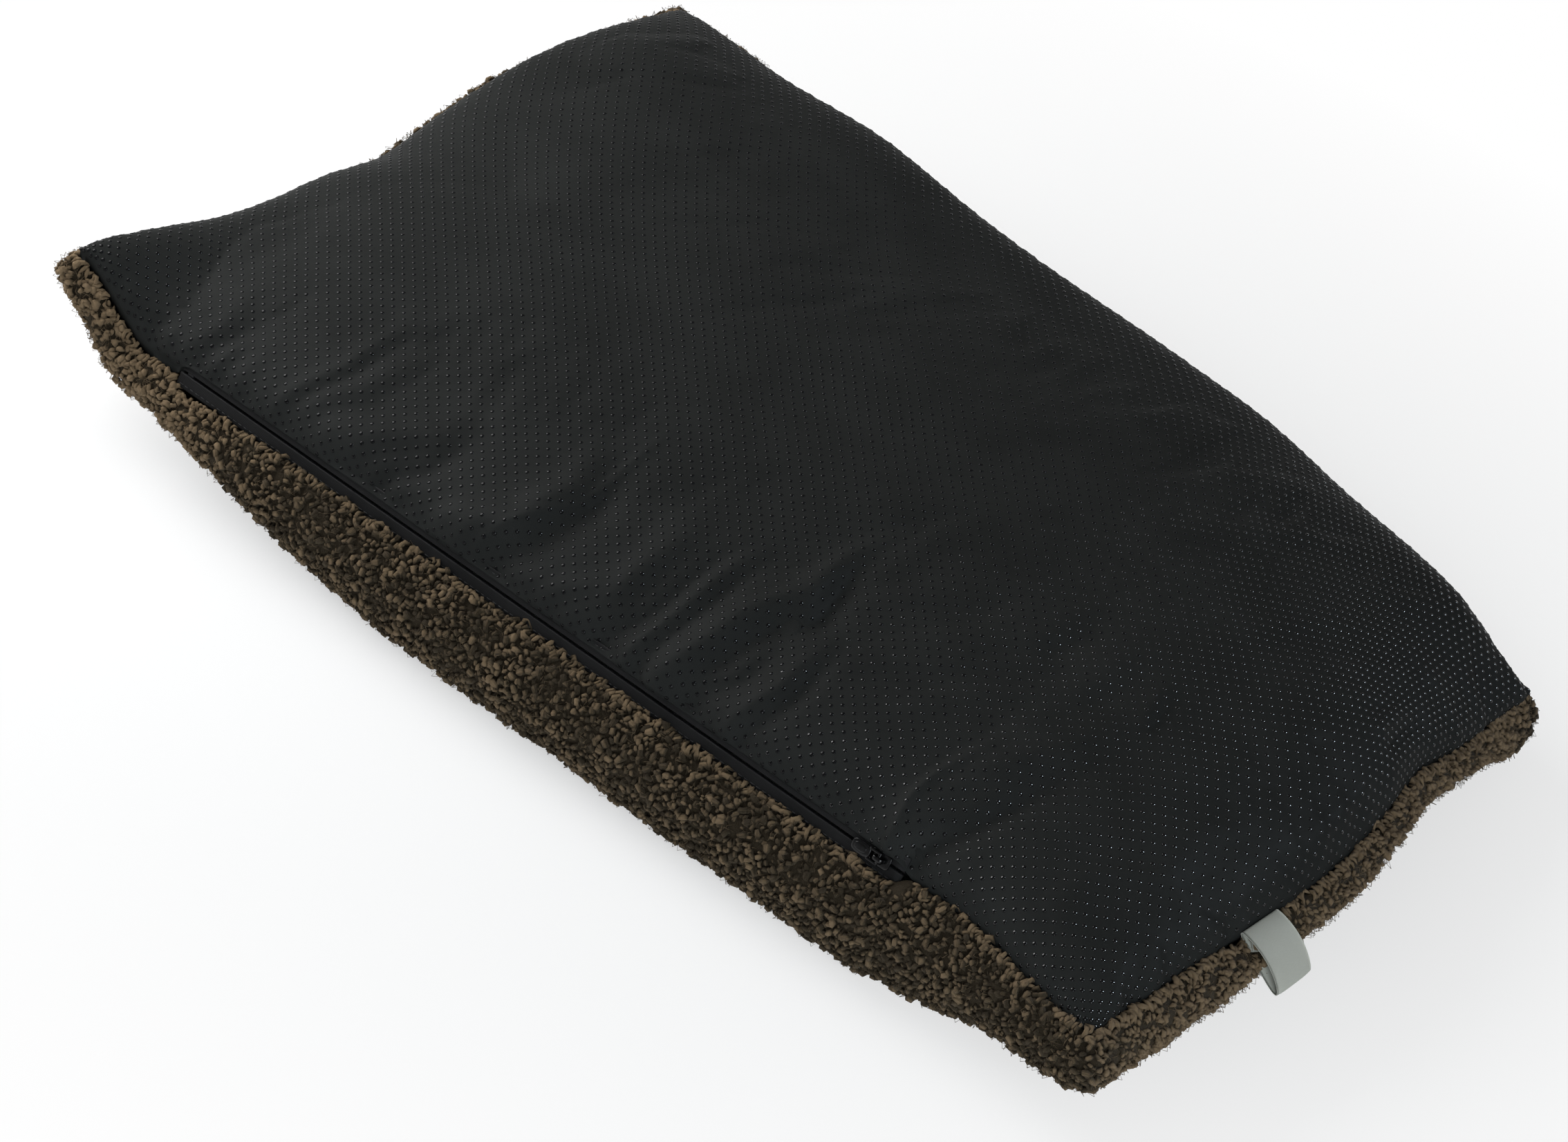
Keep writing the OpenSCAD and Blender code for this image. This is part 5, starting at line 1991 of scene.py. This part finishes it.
@dataclass
class InnerPad:
    """Inner pad inside the cover: a two-panel case, its seam and its fibre filling."""

    form: CushionForm
    case_finish: CaseFinish = CaseFinish()
    fibre_finish: FibreFinish = FibreFinish()
    thread_finish: ThreadFinish = ThreadFinish("pad_thread", (0.6, 0.6, 0.58))
    inset: float = 14.0
    low: float = 4.0
    power: float = 8.0
    seam_half_gap: float = 0.7
    edge_keep: float = 0.3
    case_t: float = 0.8
    fill_t: float = 1.6
    layer_gap: float = 0.4
    top_clear: float = 5.5
    depth_reach: float = 0.3
    walk_steps: tuple[int, int] = (90, 56)
    ring_shares: Table = (0.15, 0.3, 0.45, 0.6, 0.72, 0.82, 0.9, 0.95, 0.98, 1.0)
    stitch_count: int = 420
    stitch_share: float = 0.75
    stitch_radius: float = 0.3
    swell_height: float = 0.8
    swell_pitch: float = 70.0
    swell_seed: int = 41

    def seam(self, u: Array, v: Array, t: float) -> Array:
        """Seam of the pad, inside the cover's seam by the inset and lower by a step."""
        def inset_at(inset: float) -> Array:
            """The cover's sewn sheet at places moved in by the inset."""
            return self.form.seam(u * (1 - inset / self.form.half_len), v * (1 - inset / self.form.half_wid))

        place = inset_at(self.inset + t)
        place[..., 2] = inset_at(self.inset)[..., 2] - self.low
        return place

    def top(self, u: Array, v: Array, t: float) -> Array:
        """Top of the pad: its seam plus a crown below the cover's, with quilted swells."""
        c = self.form.crown(u, v)
        rise = self.form.crown_h - self.form.panel_t - self.layer_gap + self.low
        rise = rise - self.seam_half_gap - self.top_clear
        place = self.seam(u, v, t)
        swell = self.swell_height * ripple(place[..., :2], self.swell_pitch, self.swell_seed) * c
        depth = t * np.maximum(self.edge_keep, ease(c / self.depth_reach))
        place[..., 2] += self.seam_half_gap + rise * c + swell - depth
        return place

    def bottom(self, u: Array, v: Array, s: float, t: float) -> Array:
        """Bottom of the pad: above the sherpa face, curving up to the seam at its edge."""
        place = self.seam(s * u, s * v, t)
        low = self.form.under(u, v, np.full(u.shape, s))[..., 2] + self.form.sherpa_t + 2 * self.layer_gap + t
        edge = self.seam(u, v, t)[..., 2] - self.seam_half_gap + t * self.edge_keep
        place[..., 2] = low + (edge - low) * (1 - math.sqrt(1 - s**self.power))
        return place

    def build(self) -> None:
        """Makes the case, its seam thread and the filling."""
        u, v = self.form.walk(self.walk_steps)
        zero = np.zeros(1)
        depths = (0.0, self.case_t, self.fill_t)
        tops = {t: np.array([self.top(s * u, s * v, t) for s in self.ring_shares]) for t in depths}
        bottoms = {t: np.array([self.bottom(u, v, s, t) for s in self.ring_shares]) for t in depths}
        peak = {t: self.top(zero, zero, t)[0] for t in tops}
        base = {t: self.bottom(zero, zero, 0.0, t)[0] for t in bottoms}
        case = self.case_finish.material()
        shells = (
            ("pad_case_top", "inner_case_top", self.case_t, 0.0, tops, peak),
            ("pad_case_bottom", "inner_case_bottom", 0.0, self.case_t, bottoms, base),
        )
        for name, node, first, last, rings, ends in shells:
            shell = skin(ends[first], np.concatenate([rings[first], rings[last][::-1]]), ends[last])
            piece = make_piece(name, shell, case, Body.COVER, (node,))
        filling = skin(base[self.fill_t], np.concatenate([bottoms[self.fill_t], tops[self.fill_t][::-1]]),
                       peak[self.fill_t])
        piece = make_piece("pad_fibre_filling", filling, self.fibre_finish.material(), Body.COVER,
                           ("fibre_fill",))
        make_piece("pad_case_stitches", self.stitches(), self.thread_finish.material(), Body.COVER,
                   ("inner_case_stitching",))

    def stitches(self) -> Surface:
        """Lockstitches round the pad's seam: short capsules along the walk."""
        u, v = self.form.walk(self.walk_steps)
        line = self.seam(u, v, self.case_t / 2)
        closed = np.concatenate([line, line[:1]])
        run = run_along(closed)
        spots = (np.arange(self.stitch_count) + 0.5) / self.stitch_count * run[-1]
        base = np.stack([np.interp(spots, run, closed[:, k]) for k in range(3)], axis=-1)
        ahead = np.stack([np.interp(spots + 0.5, run, closed[:, k]) for k in range(3)], axis=-1)
        along = unit(ahead - base)
        normal = unit(np.cross(along, UP))
        length = self.stitch_share * run[-1] / self.stitch_count
        return capsules(base, normal, along, length, self.stitch_radius, 0.1, 0.0, rings=3, sides=5)[0]


def dress_node(node: bpy.types.Object, material: Material) -> None:
    """Gives a CAD node a finish in all its slots.

    Args:
        node: The CAD node's object.
        material: The finish.
    """
    if not node.material_slots:
        node.data.materials.append(material)
    for slot in node.material_slots:
        slot.material = material
    LOG.info("%s: dressed with %s", node.name, material.name)


def stand(name: str, data: bpy.types.ID, columns: list[Array]) -> bpy.types.Object:
    """Adds a lamp or camera to the scene.

    Args:
        name: Name of the object.
        data: Its light or camera.
        columns: Its directions to the right, up and back, and its place.

    Returns:
        The new object.
    """
    obj = bpy.data.objects.new(name, data)
    obj.matrix_world = Matrix(np.vstack([np.stack(columns, axis=1), [0, 0, 0, 1]]).tolist())
    bpy.context.scene.collection.objects.link(obj)
    return obj


@dataclass(frozen=True)
class Lamp:
    """Round soft lamp: its size and distance in metres, and its direction from the cushion."""

    name: str
    size: float
    power: float
    direction: Triple
    distance: float
    colour: Triple = (1.0, 1.0, 1.0)
    gloss_only: bool = False

    def build(self) -> None:
        """Makes the lamp, turned towards the cushion."""
        light = bpy.data.lights.new(self.name, "AREA")
        light.shape = "DISK"
        light.size = self.size
        light.energy = self.power
        light.color = self.colour
        towards = unit(np.array(self.direction))
        side = unit(np.cross(UP, towards))
        lamp = stand(self.name, light, [side, np.cross(towards, side), towards, towards * self.distance])
        lamp.visible_diffuse = not self.gloss_only


@dataclass
class Studio:
    """Pale floor, soft light and the camera at the photograph's viewing angle."""

    floor_finish: FloorFinish = FloorFinish()
    floor_half: float = 6.0
    floor_steps: int = 41
    cove_start: float = 0.7
    cove_rise: float = 1.5
    azimuth: float = math.radians(34.16)
    elevation: float = math.radians(36.51)
    roll: float = math.radians(12.06)
    distance: float = 2.3664
    focal_px: float = 8265.0
    offset: Pair = (-0.02083, -0.0031)
    lift: float = 0.0041
    # Large soft key on the left, a soft fill in front and a lamp behind that only shows as gloss
    lamps: tuple[Lamp, ...] = (
        Lamp("key", 0.85, 11.0, (-0.8, -0.12, 0.58), 0.95),
        Lamp("fill", 1.2, 18.0, (0.72, -0.6, 0.35), 1.8, (0.88, 0.95, 1.0)),
        Lamp("glint", 0.6, 52.0, (0.5, 0.55, 0.67), 2.2, (0.75, 0.88, 1.0), gloss_only=True),
    )
    sky: tuple[tuple[float, float], ...] = ((0.0, 0.4), (0.12, 0.3), (0.35, 0.13), (0.65, 0.12), (1.0, 0.2))

    def build(self) -> None:
        """Makes the floor, the lights, the surroundings and the camera."""
        self.floor()
        for lamp in self.lamps:
            lamp.build()
        self.surroundings()
        self.camera()
        bpy.context.scene.view_settings.view_transform = "Standard"

    def floor(self) -> None:
        """Level floor, as a grid that rises at its far edges into a shallow cove."""
        span = np.linspace(-1, 1, self.floor_steps) * self.floor_half
        x, y = np.meshgrid(span, span, indexing="ij")
        far = np.maximum(np.abs(x), np.abs(y)) / self.floor_half
        z = self.cove_rise * np.maximum(0, far - self.cove_start) ** 2
        points = np.stack([x, y, z], axis=-1).reshape(-1, 3)
        mesh = bpy.data.meshes.new("studio_floor")
        faces = grid_faces(self.floor_steps, self.floor_steps)[:, ::-1]
        mesh.from_pydata(points.tolist(), [], faces.tolist())
        mesh.polygons.foreach_set("use_smooth", np.full(len(mesh.polygons), True))
        mesh.materials.append(self.floor_finish.material())
        obj = bpy.data.objects.new("studio_floor", mesh)
        bpy.context.scene.collection.objects.link(obj)

    def surroundings(self) -> None:
        """World: white at the horizon, dimmer half way up and brighter overhead."""
        world = bpy.data.worlds.new("studio")
        world.use_nodes = True
        bpy.context.scene.world = world
        tree = world.node_tree
        place = tree.nodes.new("ShaderNodeTexCoord")
        parts = tree.nodes.new("ShaderNodeSeparateXYZ")
        ramp = tree.nodes.new("ShaderNodeValToRGB")
        set_stops(ramp, tuple((at, (level, level, level)) for at, level in self.sky))
        tree.links.new(place.outputs["Generated"], parts.inputs[0])
        tree.links.new(parts.outputs["Z"], ramp.inputs["Fac"])
        tree.links.new(ramp.outputs["Color"], tree.nodes["Background"].inputs["Color"])

    def camera(self) -> None:
        """Camera from its azimuth, elevation, roll and distance, with the photograph's field of view."""
        a, e, r = self.azimuth, self.elevation, self.roll
        back = np.array([math.sin(a) * math.cos(e), -math.cos(a) * math.cos(e), math.sin(e)])
        right = np.array([math.cos(a), math.sin(a), 0.0])
        up = np.cross(back, right)
        right, up = right * math.cos(r) + up * math.sin(r), up * math.cos(r) - right * math.sin(r)
        place = right * self.offset[0] + up * self.offset[1] + back * self.distance + UP * self.lift
        data = bpy.data.cameras.new("camera")
        data.sensor_fit = "HORIZONTAL"
        data.sensor_width = SENSOR_WIDTH
        data.lens = self.focal_px / IMAGE_WIDTH * SENSOR_WIDTH
        data.clip_end = 100.0
        bpy.context.scene.camera = stand("camera", data, [right, up, back, place])


def main() -> None:
    """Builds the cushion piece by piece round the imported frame."""
    logging.basicConfig(level=logging.INFO, format="%(name)s %(message)s")
    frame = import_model()
    form = CushionForm()
    Studio().build()
    AntiSlipPanel(form).build()
    SherpaFace(form).build()
    Zip(form).build(frame["nodes"])
    CareLabel(form).build()
    InnerPad(form).build()


if __name__ == "__main__":
    main()
